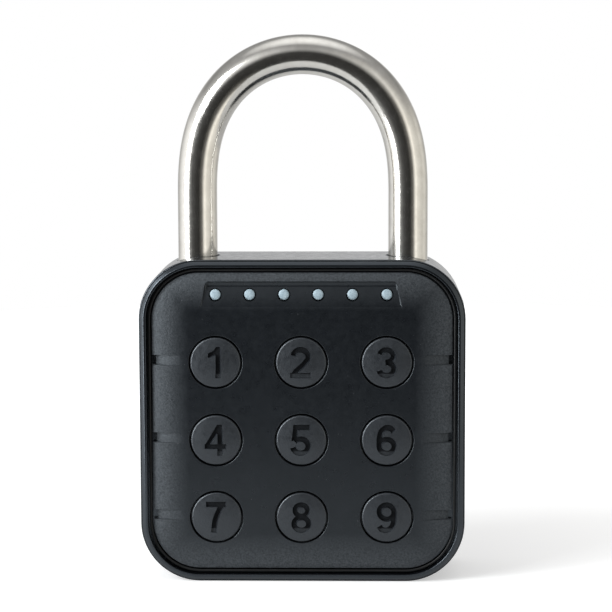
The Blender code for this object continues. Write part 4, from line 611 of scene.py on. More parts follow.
def cap_plastic(name):
    """The keys' matt plastic with a sparkling grain, and painted shade in the sunken digits: near black,
    rougher and less shiny on the faces the light would not reach.
    """
    look = Look(name, (0.01, 0.012, 0.015), 0.36, Specular_Tint=(0.86, 0.93, 1))
    painted_shade = look.painted_shade()
    mottle = look.patches(420, 5, 0.65, edges=(0.34, 0.66))
    base = look.mixed(mottle, (0.006, 0.0072, 0.0092), (0.0098, 0.0118, 0.0147))
    base = look.dusty(base, (0.2, 0.21, 0.23), 1500, (0.12, 0.04), 0.4, 1200, (0.6, 0.68))
    # Painted shade: the digits' faces that the light would not reach are painted near black, and made
    # rougher and less shiny
    base = look.mixed(painted_shade, base, (0.0034, 0.0039, 0.0048))
    grain = look.patches(1100, 4, low=0.34, high=0.46)
    shine = look.combine(0.85, look.combine(painted_shade, 0.68), "SUBTRACT")
    look.shade(base, look.combine(grain, look.combine(painted_shade, 0.3), "ADD"), Specular_IOR_Level=shine)
    look.bump(look.noise(3000, 3, 0.65), 0.00004)
    return look


def rubber(name, colour, rough=0.65):
    look = Look(name, colour, rough, Specular_IOR_Level=0.35)
    patchy = look.patches(1500, 3, low=rough - 0.08, high=rough + 0.08)
    look.shade(look.mottled(0.75, colour, 700, edges=(0.35, 0.65)), patchy)
    look.bump(look.noise(4200, 3), 0.000008)
    return look


def steel(name, colour, rough):
    """Turned or drawn metal with fine lines and slight mottling."""
    look = Look(name, colour, rough, 1)
    patchy = look.patches(1600, 4, 0.6, rough * 0.8, rough * 1.3)
    look.shade(look.mottled(0.86, colour, 500), patchy)
    look.bump(look.noise(1, 4, 0.6, look.stretched((9000, 9000, 300))), 0.000002)
    return look


def bow_steel(name):
    """Polished and plated rod: draw lines along it, tiny pits and a few hairline scratches."""
    look = Look(name, (0.72, 0.7, 0.66), 0.12, 1)
    rod = look.node("ShaderNodeUVMap", uv_map="rod").outputs["UV"]
    base = look.mixed(look.patches(420, 5, 0.6), (0.66, 0.64, 0.6), (0.76, 0.745, 0.705))
    lines = look.noise(1, 4, 0.6, look.stretched((260, 1.6, 1), rod))
    clouds = look.patches(900, 4, 0.6, 0, 0.06, (0.45, 0.75))
    look.shade(base, look.combine(look.spread(lines, 0.3, 0.75, 0.11, 0.18), clouds, "ADD"))
    look.bump(lines, 0.0000012)
    look.bump(look.noise(2600, 3, 0.65), 0.000002)
    hairs = look.noise(1, 2, 0.5, look.stretched((70, 14, 1), rod), 0.6)
    look.bump(look.spread(hairs, 0.66, 0.72, 0, 1), 0.0000028)
    return look


def lamp_plastic(name):
    """Frosted pale blue light pipe."""
    look = Look(name, (0.3, 0.38, 0.43), 0.5)
    look.shade(look.mixed(look.patches(2200, 4), (0.24, 0.32, 0.37), (0.36, 0.45, 0.5)), 0.5)
    look.bump(look.noise(5000, 3), 0.00001)
    return look


def board_green(name):
    """Solder mask over copper tracks."""
    look = Look(name, (0.02, 0.16, 0.07), 0.35)
    tracks = look.spread(look.cells(420, "DISTANCE_TO_EDGE"), 0.03, 0.06, 1, 0)
    base = look.mixed(tracks, (0.012, 0.11, 0.05), (0.04, 0.24, 0.1))
    look.shade(base, look.patches(1200, 3, low=0.28, high=0.42))
    look.bump(tracks, 0.00002)
    return look


def gloss(name, colour, rough=0.35, **sockets):
    """Smooth plastic, film or glass with slight unevenness."""
    look = Look(name, colour, rough, **sockets)
    patchy = look.patches(1400, 3, low=rough * 0.8, high=rough * 1.2)
    look.shade(look.mottled(0.8, colour, 900), patchy)
    look.bump(look.noise(2500, 2), 0.000003)
    return look


LOOKS = {
    "black_case": painted("black_case_look"),
    "black_panel": face_plastic("face_plate_look"),
    "key_plastic": cap_plastic("key_look"),
    "black_rubber": rubber("black_rubber_look", (0.014, 0.015, 0.017)),
    # Painted shade: the gasket gets a darker copy of the black rubber, so the gap between rim and plate
    # reads as shaded
    "gasket_painted_shade": rubber("gasket_painted_shade_look", (0.004, 0.0045, 0.005), 0.5),
    "grey_silicone": rubber("grey_silicone_look", (0.35, 0.36, 0.37), 0.5),
    "lamp_plastic": lamp_plastic("lamp_plastic_look"),
    "lamp_chip": gloss("lamp_chip_look", (0.8, 0.75, 0.45)),
    "polished_steel": bow_steel("bow_look"),
    "plain_steel": steel("plain_steel_look", (0.52, 0.52, 0.52), 0.32),
    "spring_steel": steel("spring_steel_look", (0.42, 0.42, 0.43), 0.28),
    "brass": steel("brass_look", (0.7, 0.52, 0.22), 0.3),
    "green_board": board_green("green_board_look"),
    "chip_black": moulded("chip_look", (0.02, 0.02, 0.022), (0.03, 0.03, 0.032), 0.5),
    "motor_steel": steel("motor_steel_look", (0.6, 0.6, 0.6), 0.28),
    "grey_plastic": moulded("grey_plastic_look", (0.17, 0.17, 0.18), (0.21, 0.21, 0.22), 0.5),
    "battery_wrap": gloss("battery_wrap_look", (0.04, 0.16, 0.42), 0.32),
    "nickel": steel("nickel_look", (0.66, 0.63, 0.58), 0.22),
    "red_wire": gloss("red_wire_look", (0.5, 0.03, 0.02), 0.42),
    "blue_wire": gloss("blue_wire_look", (0.03, 0.08, 0.4), 0.42),
    "reader_glass": gloss("reader_glass_look", (0.01, 0.01, 0.012), 0.12, Coat_Weight=0.6),
    "bezel_metal": steel("bezel_look", (0.3, 0.3, 0.31), 0.26),
    "amber_film": gloss("amber_film_look", (0.5, 0.22, 0.03), 0.35),
}


def dress_nodes():
    """Gives every node of the frame the finish that its slot names."""
    for part in frame["record"]["subparts"]:
        node = frame["nodes"][part["node"]]
        look = LOOKS[part["material_slot"]].material
        if not node.material_slots:
            node.data.materials.append(look)
        for slot in node.material_slots:
            slot.material = look


# Case


def case_rings():
    """(place, inset) of the case's outside, from back to front."""
    rings = [(CASE_BACK - inset, drop) for inset, drop in lips(BACK_ROUNDING, range(0, 91, 9))]
    return rings + [(CASE_FRONT + depth, inset) for depth, inset in RIM_PROFILE]


def square_ring(y, inset):
    half = BODY_WIDTH / 2 - inset
    outline = rounded(half, half, BODY_CORNER_RADIUS - inset, CORNER_STEPS, 0, MID_Z)
    return [(x, y, z) for x, z in outline]


def port_outline(width, height, radius, more):
    """A round-cornered rectangle in the bottom face, grown all round."""
    return rounded(width / 2 + more, height / 2 + more, radius + more, 12, 0, PORT_Y)


def cavity_outline():
    """The hollow behind the main board, in X and Z."""
    half = BODY_WIDTH / 2 - CASE_WALL
    return [
        (-half, CASE_WALL),
        (half, CASE_WALL),
        (half, LUG_ROOF_Z),
        (GUIDE_INNER_X, LUG_ROOF_Z),
        (GUIDE_INNER_X, CAVITY_TOP),
        (-GUIDE_INNER_X, CAVITY_TOP),
        (-GUIDE_INNER_X, LUG_ROOF_Z),
        (-BLOCK_INNER_X, LUG_ROOF_Z),
        (-BLOCK_INNER_X, BATTERY_ROOF_Z),
        (-half, BATTERY_ROOF_Z),
    ]


def bore_profile(side):
    """A leg's bore, with the groove for its seal and a small chamfer at its mouth."""
    top = BODY_HEIGHT
    groove = BORE_RADIUS + SEAL_WALL + SEAT_GAP
    low, high = SEAL_TOP_Z - SEAL_HEIGHT - SEAT_GAP, SEAL_TOP_Z + SEAT_GAP
    upper = [(BORE_RADIUS, low), (groove, low), (groove, high), (BORE_RADIUS, high)]
    mouth = BORE_RADIUS + BORE_CHAMFER
    upper += [(BORE_RADIUS, top - BORE_CHAMFER), (mouth, top), (mouth, top + OVERRUN)]
    if side < 0:
        return [(BORE_RADIUS, HEEL_FLOOR_Z)] + upper
    lower = [(SHANK_HOLE_RADIUS, LUG_ROOF_Z - OVERRUN), (SHANK_HOLE_RADIUS, HEAD_SEAT_Z)]
    lower += [(HEAD_HOLE_RADIUS, HEAD_SEAT_Z), (HEAD_HOLE_RADIUS, TOE_SEAT_Z), (BORE_RADIUS, TOE_SEAT_Z)]
    return lower + upper


def make_case():
    case = solid("case_shell", [square_ring(y, inset) for y, inset in case_rings()])
    ledge_y = PLATE_BACK + SEAT_GAP
    rings = [square_ring(BLOCK_FRONT, CASE_WALL), square_ring(ledge_y, CASE_WALL)]
    rings.append(square_ring(ledge_y, RIM_WIDTH))
    for inset, drop in lips(RIM_LIP_ROUNDING, range(0, 91, 15)):
        rings.append(square_ring(CASE_FRONT + drop, RIM_WIDTH - inset))
    rings.append(square_ring(CASE_FRONT - OVERRUN, RIM_WIDTH - RIM_LIP_ROUNDING))
    cut(case, rings)
    cut(case, prism_y(cavity_outline(), BLOCK_FRONT - OVERRUN, CAVITY_BACK))
    for side in (-1, 1):
        cut(case, turned(bore_profile(side), "Z", (side * LEG_OFFSET, 0)))

    bolt_hole = BOLT_RADIUS + SEAT_GAP
    cut(case, turned([(bolt_hole, -LEG_OFFSET), (bolt_hole, LEG_OFFSET)], "X", (0, 0, BOLT_Z)))
    pin_hole = PIN_RADIUS + SEAT_GAP
    profile = [(pin_hole, BLOCK_FRONT - OVERRUN), (pin_hole, PIN_END)]
    cut(case, turned(profile, "Y", (PIN_X, 0, PIN_Z), 32))
    chamfered = READER_HOLE_RADIUS + BORE_CHAMFER
    profile = [(READER_HOLE_RADIUS, CAVITY_BACK - OVERRUN), (READER_HOLE_RADIUS, CASE_BACK - BORE_CHAMFER)]
    profile += [(chamfered, CASE_BACK), (chamfered, CASE_BACK + OVERRUN)]
    cut(case, turned(profile, "Y", (0, 0, READER_Z)))

    wide = port_outline(PLUG_WIDTH, PLUG_HEIGHT, PLUG_CORNER, SEAT_GAP)
    mouth = port_outline(PLUG_WIDTH, PLUG_HEIGHT, PLUG_CORNER, SEAT_GAP + PORT_CHAMFER)
    narrow = port_outline(PORT_WIDTH, PORT_HEIGHT, PORT_CORNER, SEAT_GAP)
    steps = ((mouth, -OVERRUN), (mouth, 0), (wide, PORT_CHAMFER), (wide, PLUG_RECESS_Z))
    steps += ((narrow, PLUG_RECESS_Z), (narrow, CASE_WALL + OVERRUN))
    cut(case, [[(x, y, z) for x, y in outline] for outline, z in steps])

    half = HOOK_WIDTH / 2 + SEAT_GAP
    slots = []
    for centre in (-HOOK_OFFSET_X, HOOK_OFFSET_X):
        low = (centre - half, HOOK_NOSE_FRONT - SEAT_GAP, CASE_WALL - HOOK_BITE - SEAT_GAP)
        slots.append(block(low, (centre + half, HOOK_BACK + SEAT_GAP, CASE_WALL + OVERRUN)))
    cut(case, *slots)
    dress(case, "case", "black_case", "case_body")


# Face plate


def plate_front(inset):
    """Where the plate's face lies, by the distance from its edge."""
    return PLATE_EDGE_FRONT - PLATE_DROP * (1 - max(1 - inset / PLATE_MARGIN, 0) ** 2)


def plate_ring(y, inset):
    share = min(inset / PLATE_MARGIN, 1)
    radius = PLATE_RADIUS + (PLATE_FLAT_RADIUS - PLATE_RADIUS) * share
    outline = rounded(PLATE_HALF - inset, PLATE_HALF - inset, radius, CORNER_STEPS, 0, MID_Z)
    return [(x, y, z) for x, z in outline]


def key_places():
    """Number, x and z of each key, from the top left."""
    places = []
    for row in range(3):
        for column in range(3):
            x = FACE_SHIFT_X + (column - 1) * KEY_PITCH_X
            places.append((row * 3 + column + 1, x, KEY_MIDDLE_Z + (1 - row) * KEY_PITCH_Z))
    return places


def lamp_places():
    return [FACE_SHIFT_X + (i - (LAMP_COUNT - 1) / 2) * LAMP_PITCH for i in range(LAMP_COUNT)]


def recess_y(z):
    """How far back the lamp recess's floor lies at a height: level with the face at its lower end."""
    share = (z - RECESS_END_Z) / (RECESS_FOOT_Z - RECESS_END_Z)
    return CASE_FRONT + RECESS_DEPTH * share**RECESS_FLOOR_POWER


def recess_outline(inset, steps=12):
    """The lamp recess from the front: round upper corners, and ends that lean outwards."""
    half = RECESS_HALF_WIDTH - inset
    radius = RECESS_CORNER_RADIUS
    right = []
    for i in range(9):
        share = i / 8
        z = RECESS_END_Z - OVERRUN + (RECESS_TOP_Z - radius - RECESS_END_Z + OVERRUN) * share
        right.append((half + RECESS_FLARE * (1 - share) ** RECESS_FLARE_POWER, z))
    right += arc(half - radius, RECESS_TOP_Z - radius, radius, radius, 0, 90, steps)[1:]
    left = [(-x, z) for x, z in reversed(right)]
    return [(x + FACE_SHIFT_X, z) for x, z in right + left]


def recess_profile(steps=14):
    """The recess cut across: a floor that sinks from its lower end, and a hollow upper wall."""
    front = CASE_FRONT - OVERRUN
    profile = [(front, RECESS_END_Z)]
    for i in range(steps + 1):
        z = RECESS_END_Z + (RECESS_FOOT_Z - RECESS_END_Z) * i / steps
        profile.append((recess_y(z), z))
    rise = RECESS_TOP_Z - RECESS_FOOT_Z
    wall = arc(CASE_FRONT, RECESS_FOOT_Z, RECESS_DEPTH, rise, 0, 90, steps)
    return profile + wall[1:] + [(front, RECESS_TOP_Z)]


def recess_shade(centre, normal):
    """1 for the faces inside the lamp recess, which are kept dark as painted shade."""
    across = max(abs(centre.x), abs(centre.z - MID_Z))
    inside = abs(centre.x - FACE_SHIFT_X) < RECESS_HALF_WIDTH and RECESS_END_Z < centre.z < RECESS_TOP_Z
    return 1 if inside and centre.y > plate_front(PLATE_HALF - across) + RECESS_SKIN else 0


def plate_body():
    """The pillow-shaped plate before its holes."""
    rings = [plate_ring(PLATE_BACK, 0)]
    for inset, drop in lips(PLATE_EDGE_ROUNDING, (0, 22.5, 45, 67.5, 90)):
        rings.append(plate_ring(PLATE_EDGE_FRONT + drop, inset))
    for i in range(1, 17):
        inset = PLATE_EDGE_ROUNDING + i / 16 * (PLATE_MARGIN - PLATE_EDGE_ROUNDING)
        rings.append(plate_ring(plate_front(inset), inset))
    return solid("face_plate", rings)


def plate_fixings():
    """Hooks for the case's floor, the lug for the cover screw, and posts for the board."""
    root = PLATE_BACK - SEAT_GAP
    hook = [
        (root, HOOK_FLOOR_Z),
        (HOOK_NOSE_FRONT, HOOK_FLOOR_Z),
        (HOOK_NOSE_FRONT, CASE_WALL - HOOK_BITE),
        (HOOK_BACK, CASE_WALL - HOOK_BITE),
        (HOOK_BACK, HOOK_FLOOR_Z + HOOK_THICKNESS),
        (root, HOOK_FLOOR_Z + HOOK_THICKNESS),
    ]
    bodies = []
    for centre in (-HOOK_OFFSET_X, HOOK_OFFSET_X):
        bodies.append(prism_x(hook, centre - HOOK_WIDTH / 2, centre + HOOK_WIDTH / 2))
    lug = [(LUG_WEB_X, root), (LUG_RIGHT_X, root), (LUG_RIGHT_X, LUG_BACK)]
    lug += [(LUG_LEFT_X, LUG_BACK), (LUG_LEFT_X, BLOCK_FRONT), (LUG_WEB_X, BLOCK_FRONT)]
    bodies.append(prism_z(lug, LUG_LOW_Z, LUG_TOP_Z))
    post = [(POST_RADIUS, root), (POST_RADIUS, POST_BACK)]
    pegged = post + [(PEG_RADIUS, POST_BACK), (PEG_RADIUS, PEG_BACK)]
    for profile, z in ((post, POST_LOW_Z), (pegged, PEG_Z)):
        for x in (-POST_OFFSET_X, POST_OFFSET_X):
            bodies.append(turned(profile, "Y", (x, 0, z), 32))
    return bodies


def side_grooves():
    """Three grooves at each side that deepen to the edge, with a notch at their ends."""
    low_y, edge_y = CASE_FRONT - OVERRUN, PLATE_EDGE_FRONT + GROOVE_DEPTH
    inner, outer = PLATE_HALF - GROOVE_LENGTH, PLATE_HALF + PLATE_INSET
    notch_x, high_y = PLATE_HALF - GROOVE_NOTCH_LENGTH, edge_y + GROOVE_NOTCH_DEPTH
    groove = [(inner, low_y), (outer, low_y), (outer, edge_y)]
    for i in range(9):
        inset = GROOVE_LENGTH * i / 8
        groove.append((PLATE_HALF - inset, plate_front(inset) + GROOVE_DEPTH * (1 - i / 8)))
    notch = bar(notch_x, low_y, outer, high_y)
    bodies = []
    for row in range(3):
        z = KEY_MIDDLE_Z + (1 - row) * KEY_PITCH_Z + GROOVE_RISE
        for side in (-1, 1):
            for outline, inset in ((groove, 0), (notch, GROOVE_NOTCH_INSET)):
                half = GROOVE_HEIGHT / 2 - inset
                bodies.append(prism_z([(side * x, y) for x, y in outline], z - half, z + half))
    return bodies


def make_plate():
    plate = plate_body()
    cut(plate, *plate_fixings(), operation="UNION")

    mouth = [(KEY_HOLE_RADIUS + HOLE_LIP, CASE_FRONT - OVERRUN)]
    for inset, drop in lips(HOLE_LIP, (90, 60, 30, 0)):
        mouth.append((KEY_HOLE_RADIUS + inset, CASE_FRONT + drop))
    mouth.append((KEY_HOLE_RADIUS, PLATE_BACK + OVERRUN))
    cut(plate, *(turned(mouth, "Y", (x, 0, z)) for _, x, z in key_places()))

    rings = []
    for depth, inset in RECESS_SIDE:
        rings.append([(x, CASE_FRONT + depth, z) for x, z in recess_outline(inset)])
    recess = solid("recess", rings)
    reach = RECESS_HALF_WIDTH + OVERRUN
    floor = prism_x(recess_profile(), FACE_SHIFT_X - reach, FACE_SHIFT_X + reach)
    cut(recess, floor, operation="INTERSECT")
    boolean(plate, recess)

    hole = [(LAMP_HOLE_RADIUS, CASE_FRONT - OVERRUN), (LAMP_HOLE_RADIUS, PLATE_BACK + OVERRUN)]
    cut(plate, *(turned(hole, "Y", (x, 0, LAMP_Z), 48) for x in lamp_places()))
    cut(plate, *side_grooves())
    mark_painted_shade(plate, recess_shade)
    dress(plate, "case", "black_panel", "front_panel")


def make_gasket():
    half = GASKET_WALL / 2
    outer = RIM_WIDTH + SEAT_GAP
    front = PLATE_EDGE_FRONT + GASKET_STEP_BACK
    back = front + GASKET_DEPTH
    crown = arc(outer + half, front + GASKET_CROWN, half, GASKET_CROWN, 180, 360, 8)
    profile = [(outer, back)] + crown + [(outer + GASKET_WALL, back)]
    gasket = solid("face_gasket", [square_ring(y, inset) for inset, y in profile], closed=True)
    # The gasket wears the darker copy of the black rubber, painted shade for the gap
    dress(gasket, "case", "black_rubber", "panel_gasket", look="gasket_painted_shade")


# Keys


def stroke(points, width):
    """A strip of a width round a line of points, as a closed outline."""
    left, right = [], []
    for i, (x, z) in enumerate(points):
        before, after = points[max(i - 1, 0)], points[min(i + 1, len(points) - 1)]
        dx, dz = after[0] - before[0], after[1] - before[1]
        length = math.hypot(dx, dz)
        across = (-dz / length * width / 2, dx / length * width / 2)
        left.append((x + across[0], z + across[1]))
        right.append((x - across[0], z - across[1]))
    return right + left[::-1]


def smooth(knots, steps=8):
    """Points on a smooth curve through the knots."""
    knots = [Vector(k) for k in knots]
    knots = [2 * knots[0] - knots[1]] + knots + [2 * knots[-1] - knots[-2]]
    points = []
    for a, b, c, d in zip(knots, knots[1:], knots[2:], knots[3:]):
        for step in range(steps):
            t = step / steps
            bend = (2 * a - 5 * b + 4 * c - d) * t * t + (3 * b - a - 3 * c + d) * t * t * t
            points.append((2 * b + (c - a) * t + bend) / 2)
    return [(p.x, p.y) for p in points + [knots[-2]]]


def digit_strokes(number):
    """Outlines and rings of a plain digit, in shares of its half height."""
    wide, thin = 0.362, 0.33
    tail = [(-0.47, -0.42), (-0.46, 0.15), (-0.33, 0.58), (-0.02, 0.815), (0.3, 0.76), (0.46, 0.55)]
    outlines, rings = [], []
    if number == 1:
        outlines.append([(0.02, -1), (0.36, -1), (0.36, 1), (0.08, 1), (0.02, 0.9)])
        flag = [(0.2, 1), (0.08, 1), (-0.05, 0.82), (-0.2, 0.7), (-0.45, 0.6)]
        outlines.append(flag + [(-0.45, 0.3), (-0.2, 0.37), (0.06, 0.5), (0.2, 0.6)])
    if number == 2:
        bend = arc(0, 0.38, 0.47, 0.44, 172, -25, 26)
        fall = smooth([bend[-1], (0.1, -0.18), (-0.25, -0.5), (-0.5, -0.86)])
        outlines.append(stroke(bend + fall[1:], wide))
        outlines.append(bar(-0.66, -1, 0.66, -0.66))
    if number == 3:
        outlines.append(stroke(arc(-0.02, 0.44, 0.42, 0.38, 165, -100, 30), thin))
        outlines.append(stroke(arc(-0.02, -0.4, 0.47, 0.42, 100, -165, 30), wide * 0.97))
    if number == 4:
        outlines += [bar(0.1, -1, 0.45, 1), bar(-0.7, -0.56, 0.68, -0.24)]
        outlines.append([(-0.7, -0.3), (-0.36, -0.3), (0.3, 0.72), (0.3, 1), (0.1, 1)])
    if number == 5:
        outlines.append(bar(-0.42, 0.66, 0.58, 1))
        outlines.append([(-0.47, 1), (-0.62, -0.02), (-0.29, -0.06), (-0.12, 0.96), (-0.16, 1)])
        outlines.append(stroke(arc(-0.04, -0.36, 0.49, 0.46, 140, -168, 34), wide))
    if number in (6, 9):
        turn = 1 if number == 6 else -1
        outlines.append([(turn * x, turn * z) for x, z in stroke(smooth(tail), wide)])
        rings.append((0, turn * -0.37, 0.47, 0.45, wide * 0.95))
    if number == 7:
        outlines.append(bar(-0.64, 0.66, 0.64, 1))
        outlines.append(stroke(smooth([(0.45, 0.84), (0.16, 0.42), (-0.08, -0.2), (-0.16, -1)]), wide))
    if number == 8:
        rings.append((0, 0.46, 0.4, 0.36, thin))
        rings.append((0, -0.41, 0.47, 0.42, wide * 0.97))
    return outlines, rings


def turn_same_way(outline):
    area = sum(a[0] * b[1] - b[0] * a[1] for a, b in zip(outline, outline[1:] + outline[:1]))
    return outline if area > 0 else outline[::-1]


def digit_body(number, x, z):
    """The body that sinks a digit into its key. It leans as it sinks, and its floor curves up."""
    front, back = KEY_FRONT - OVERRUN, KEY_FRONT + 2 * DIGIT_DEPTH
    outlines, rings = digit_strokes(number)
    scale = DIGIT_HALF_HEIGHT
    parts = []
    for outline in outlines:
        placed = [(x + u * scale, z + v * scale) for u, v in turn_same_way(outline)]
        parts.append(solid("digit", prism_y(placed, front, back)))
    for centre_u, centre_v, radius_u, radius_v, width in rings:
        loops = []
        for grow, y in ((1, back), (1, front), (-1, front), (-1, back)):
            more = grow * width / 2
            line = arc(centre_u, centre_v, radius_u + more, radius_v + more, 0, 360, 48)[:-1]
            loops.append([(x + u * scale, y, z + v * scale) for u, v in line])
        parts.append(solid("digit", loops, closed=True))
    made = parts[0]
    for part in parts[1:]:
        boolean(made, part, "UNION")
    half = KEY_CAP_RADIUS
    floor = []
    for i in range(17):
        share = i / 8 - 1
        deep = KEY_FRONT + DIGIT_DEPTH - DIGIT_FLOOR_SAG * share * share
        floor.append((deep, z + share * half * DIGIT_FLOOR_REACH))
    floor += [(front - OVERRUN, z + half), (front - OVERRUN, z - half)]
    cut(made, prism_x(floor, x - half, x + half), operation="INTERSECT")
    for vertex in made.data.vertices:
        share = (vertex.co.y - KEY_FRONT) / DIGIT_DEPTH
        vertex.co.x += DIGIT_LEAN[0] * share
        vertex.co.z += DIGIT_LEAN[1] * share
    return made


def digit_shade(x, z):
    """Tells how much painted shade each face of a sunken digit gets: none on the walls that face left,
    towards the light, half on walls that face up and on the lowest floor, and full on the rest.
    """

    def depth_of(centre, normal):
        radius = math.hypot(centre.x - x, centre.z - z)
        surface = KEY_FRONT + KEY_DOME_DROP * (radius / (KEY_CAP_RADIUS - KEY_EDGE_ROUNDING)) ** 2
        if radius > DIGIT_REACH or centre.y < surface + DIGIT_SURFACE_SKIN:
            return 0
        if normal.x < -DIGIT_FACING:
            return 0
        if normal.z > DIGIT_FACING or centre.z - z < -DIGIT_LOW_SHARE * DIGIT_HALF_HEIGHT:
            return DIGIT_HALF_SHADE
        return 1

    return depth_of


def make_keys():
    dish_radius, dish_edge = KEY_CAP_RADIUS - KEY_EDGE_ROUNDING, KEY_FRONT + KEY_DOME_DROP
    profile = []
    for i in range(1, 9):
        profile.append((dish_radius * i / 8, KEY_FRONT + KEY_DOME_DROP * (i / 8) ** 2))
    for inset, drop in lips(KEY_EDGE_ROUNDING, (75, 60, 45, 30, 15, 0)):
        profile.append((KEY_CAP_RADIUS - inset, dish_edge + drop))
    profile += [(KEY_CAP_RADIUS, KEY_FLANGE_FRONT), (KEY_FLANGE_RADIUS, KEY_FLANGE_FRONT)]
    profile.append((KEY_FLANGE_RADIUS, KEY_FLANGE_BACK))
    for number, x, z in key_places():
        key = solid(f"keycap_{number}", turned(profile, "Y", (x, 0, z)))
        boolean(key, digit_body(number, x, z))
        mark_painted_shade(key, digit_shade(x, z))
        dress(key, f"key_{number}", "key_plastic", f"key_{number}")


def make_lamps():
    """Six light pins on their bar, with softly domed ends."""
    half = (LAMP_COUNT - 1) / 2 * LAMP_PITCH + LAMP_BAR_OVERHANG
    outline = rounded(half, LAMP_BAR_HALF_HEIGHT, LAMP_BAR_CORNER, 6, 0, LAMP_Z)
    bar = solid("lamp_pins", prism_y(outline, LAMP_BAR_FRONT, LAMP_BAR_BACK))
    pin = []
    for turn in map(math.radians, (10, 25, 40, 55, 70, 82, 90)):
        pin.append((LAMP_RADIUS * math.sin(turn), recess_y(LAMP_Z) + LAMP_DOME * (1 - math.cos(turn))))
    pin.append((LAMP_RADIUS, LAMP_BAR_FRONT + SEAT_GAP))
    cut(bar, *(turned(pin, "Y", (x, 0, LAMP_Z), 48) for x in lamp_places()), operation="UNION")
    dress(bar, "case", "lamp_plastic", "light_guide")


# Bow


def leg_end(side, low):
    """(x, z, radius) up the softly chamfered end of a leg."""
    end = []
    for share in LEG_END_SHARES:
        radius = ROD_RADIUS - LEG_END_CHAMFER * (1 - share) ** LEG_END_POWER
        end.append((side * LEG_OFFSET, low + LEG_END_CHAMFER * share, radius))
    return end


def bow_route():
    """(x, z, radius) along the bow from the heel's end, over the arch, to the toe's end."""
    neck_low, neck_high = NECK_Z - NECK_HALF_HEIGHT, NECK_Z + NECK_HALF_HEIGHT
    low, high = neck_high + NECK_CHAMFER, BODY_HEIGHT + ARCH_START
    route = leg_end(-1, HEEL_BOTTOM_Z) + [
        (-LEG_OFFSET, neck_low - NECK_CHAMFER, ROD_RADIUS),
        (-LEG_OFFSET, neck_low, NECK_RADIUS),
        (-LEG_OFFSET, neck_high, NECK_RADIUS),
        (-LEG_OFFSET, low, ROD_RADIUS),
    ]
    for i in range(1, STRAIGHT_STEPS):
        route.append((-LEG_OFFSET, low + (high - low) * i / STRAIGHT_STEPS, ROD_RADIUS))
    for i in range(ARCH_STEPS + 1):
        rise = max(math.sin(math.pi * i / ARCH_STEPS), 0)
        reach = math.copysign(math.sqrt(1 - rise**ARCH_POWER), -math.cos(math.pi * i / ARCH_STEPS))
        route.append((reach * LEG_OFFSET, high + ARCH_RISE * rise, ROD_RADIUS))
    fall = high - TOE_BOTTOM_Z - LEG_END_CHAMFER
    for i in range(1, STRAIGHT_STEPS):
        route.append((LEG_OFFSET, high - fall * i / STRAIGHT_STEPS, ROD_RADIUS))
    return route + leg_end(1, TOE_BOTTOM_Z)[::-1]


def make_bow():
    route = bow_route()
    bm = bmesh.new()
    rings = []
    for i, (x, z, radius) in enumerate(route):
        before, after = route[max(i - 1, 0)], route[min(i + 1, len(route) - 1)]
        ahead = Vector((after[0] - before[0], 0, after[1] - before[1])).normalized()
        across = Vector((ahead.z, 0, -ahead.x))
        ring = []
        for u, v in circle(radius, ROD_SIDES):
            ring.append(Vector((x, 0, z)) + across * u + Vector((0, 1, 0)) * v)
        rings.append(ring)
    loops = stacked(bm, rings)
    spread = bm.loops.layers.uv.new("rod")
    places = {}
    run = 0
    for i, loop in enumerate(loops):
        if i:
            run += math.dist(route[i][:2], route[i - 1][:2])
        for k, vert in enumerate(loop):
            places[vert] = (k / ROD_SIDES, run / ROD_UV_LENGTH)
    for face in bm.faces:
        for corner in face.loops:
            u, v = places[corner.vert]
            # The last strip round the rod closes on 1, not on 0
            if u == 0 and any(places[other.vert][0] > 0.9 for other in face.loops):
                u = 1
            corner[spread].uv = (u, v)
    bow = mesh_object("bow", bm, 30)

    half = BOLT_RADIUS + SEAT_GAP
    reach_x = LEG_OFFSET - ROD_RADIUS - OVERRUN
    reach_y = ROD_RADIUS + OVERRUN
    left = block((-NOTCH_X, -reach_y, BOLT_Z - half), (-reach_x, reach_y, BOLT_Z + half))
    right = block((reach_x, -reach_y, BOLT_Z - half), (NOTCH_X, reach_y, BOLT_Z + half))
    low = (-LEG_OFFSET - ROD_RADIUS - OVERRUN, -reach_y, NECK_Z)
    high = (PIN_X + PIN_RADIUS + SEAT_GAP, reach_y, PIN_Z + PIN_RADIUS + SEAT_GAP)
    cut(bow, left, right, block(low, high))
    dress(bow, "shackle", "polished_steel", "shackle", sharp=30)


def make_seals():
    """Rubber rings in the bores, with a rounded inner lip."""
    inner, outer = BORE_RADIUS, BORE_RADIUS + SEAL_WALL
    half = SEAL_HEIGHT / 2
    profile = [(outer, SEAL_TOP_Z - SEAL_HEIGHT), (outer, SEAL_TOP_Z)]
    profile += arc(inner + SEAL_LIP, SEAL_TOP_Z - half, SEAL_LIP, half, 90, 270, 6)
    for name, x in (("left", -LEG_OFFSET), ("right", LEG_OFFSET)):
        ring = solid(f"bore_seal_{name}", turned(profile, "Z", (x, 0), 72), closed=True)
        dress(ring, "case", "black_rubber", f"shackle_seal_{name}")


# Mat and springs


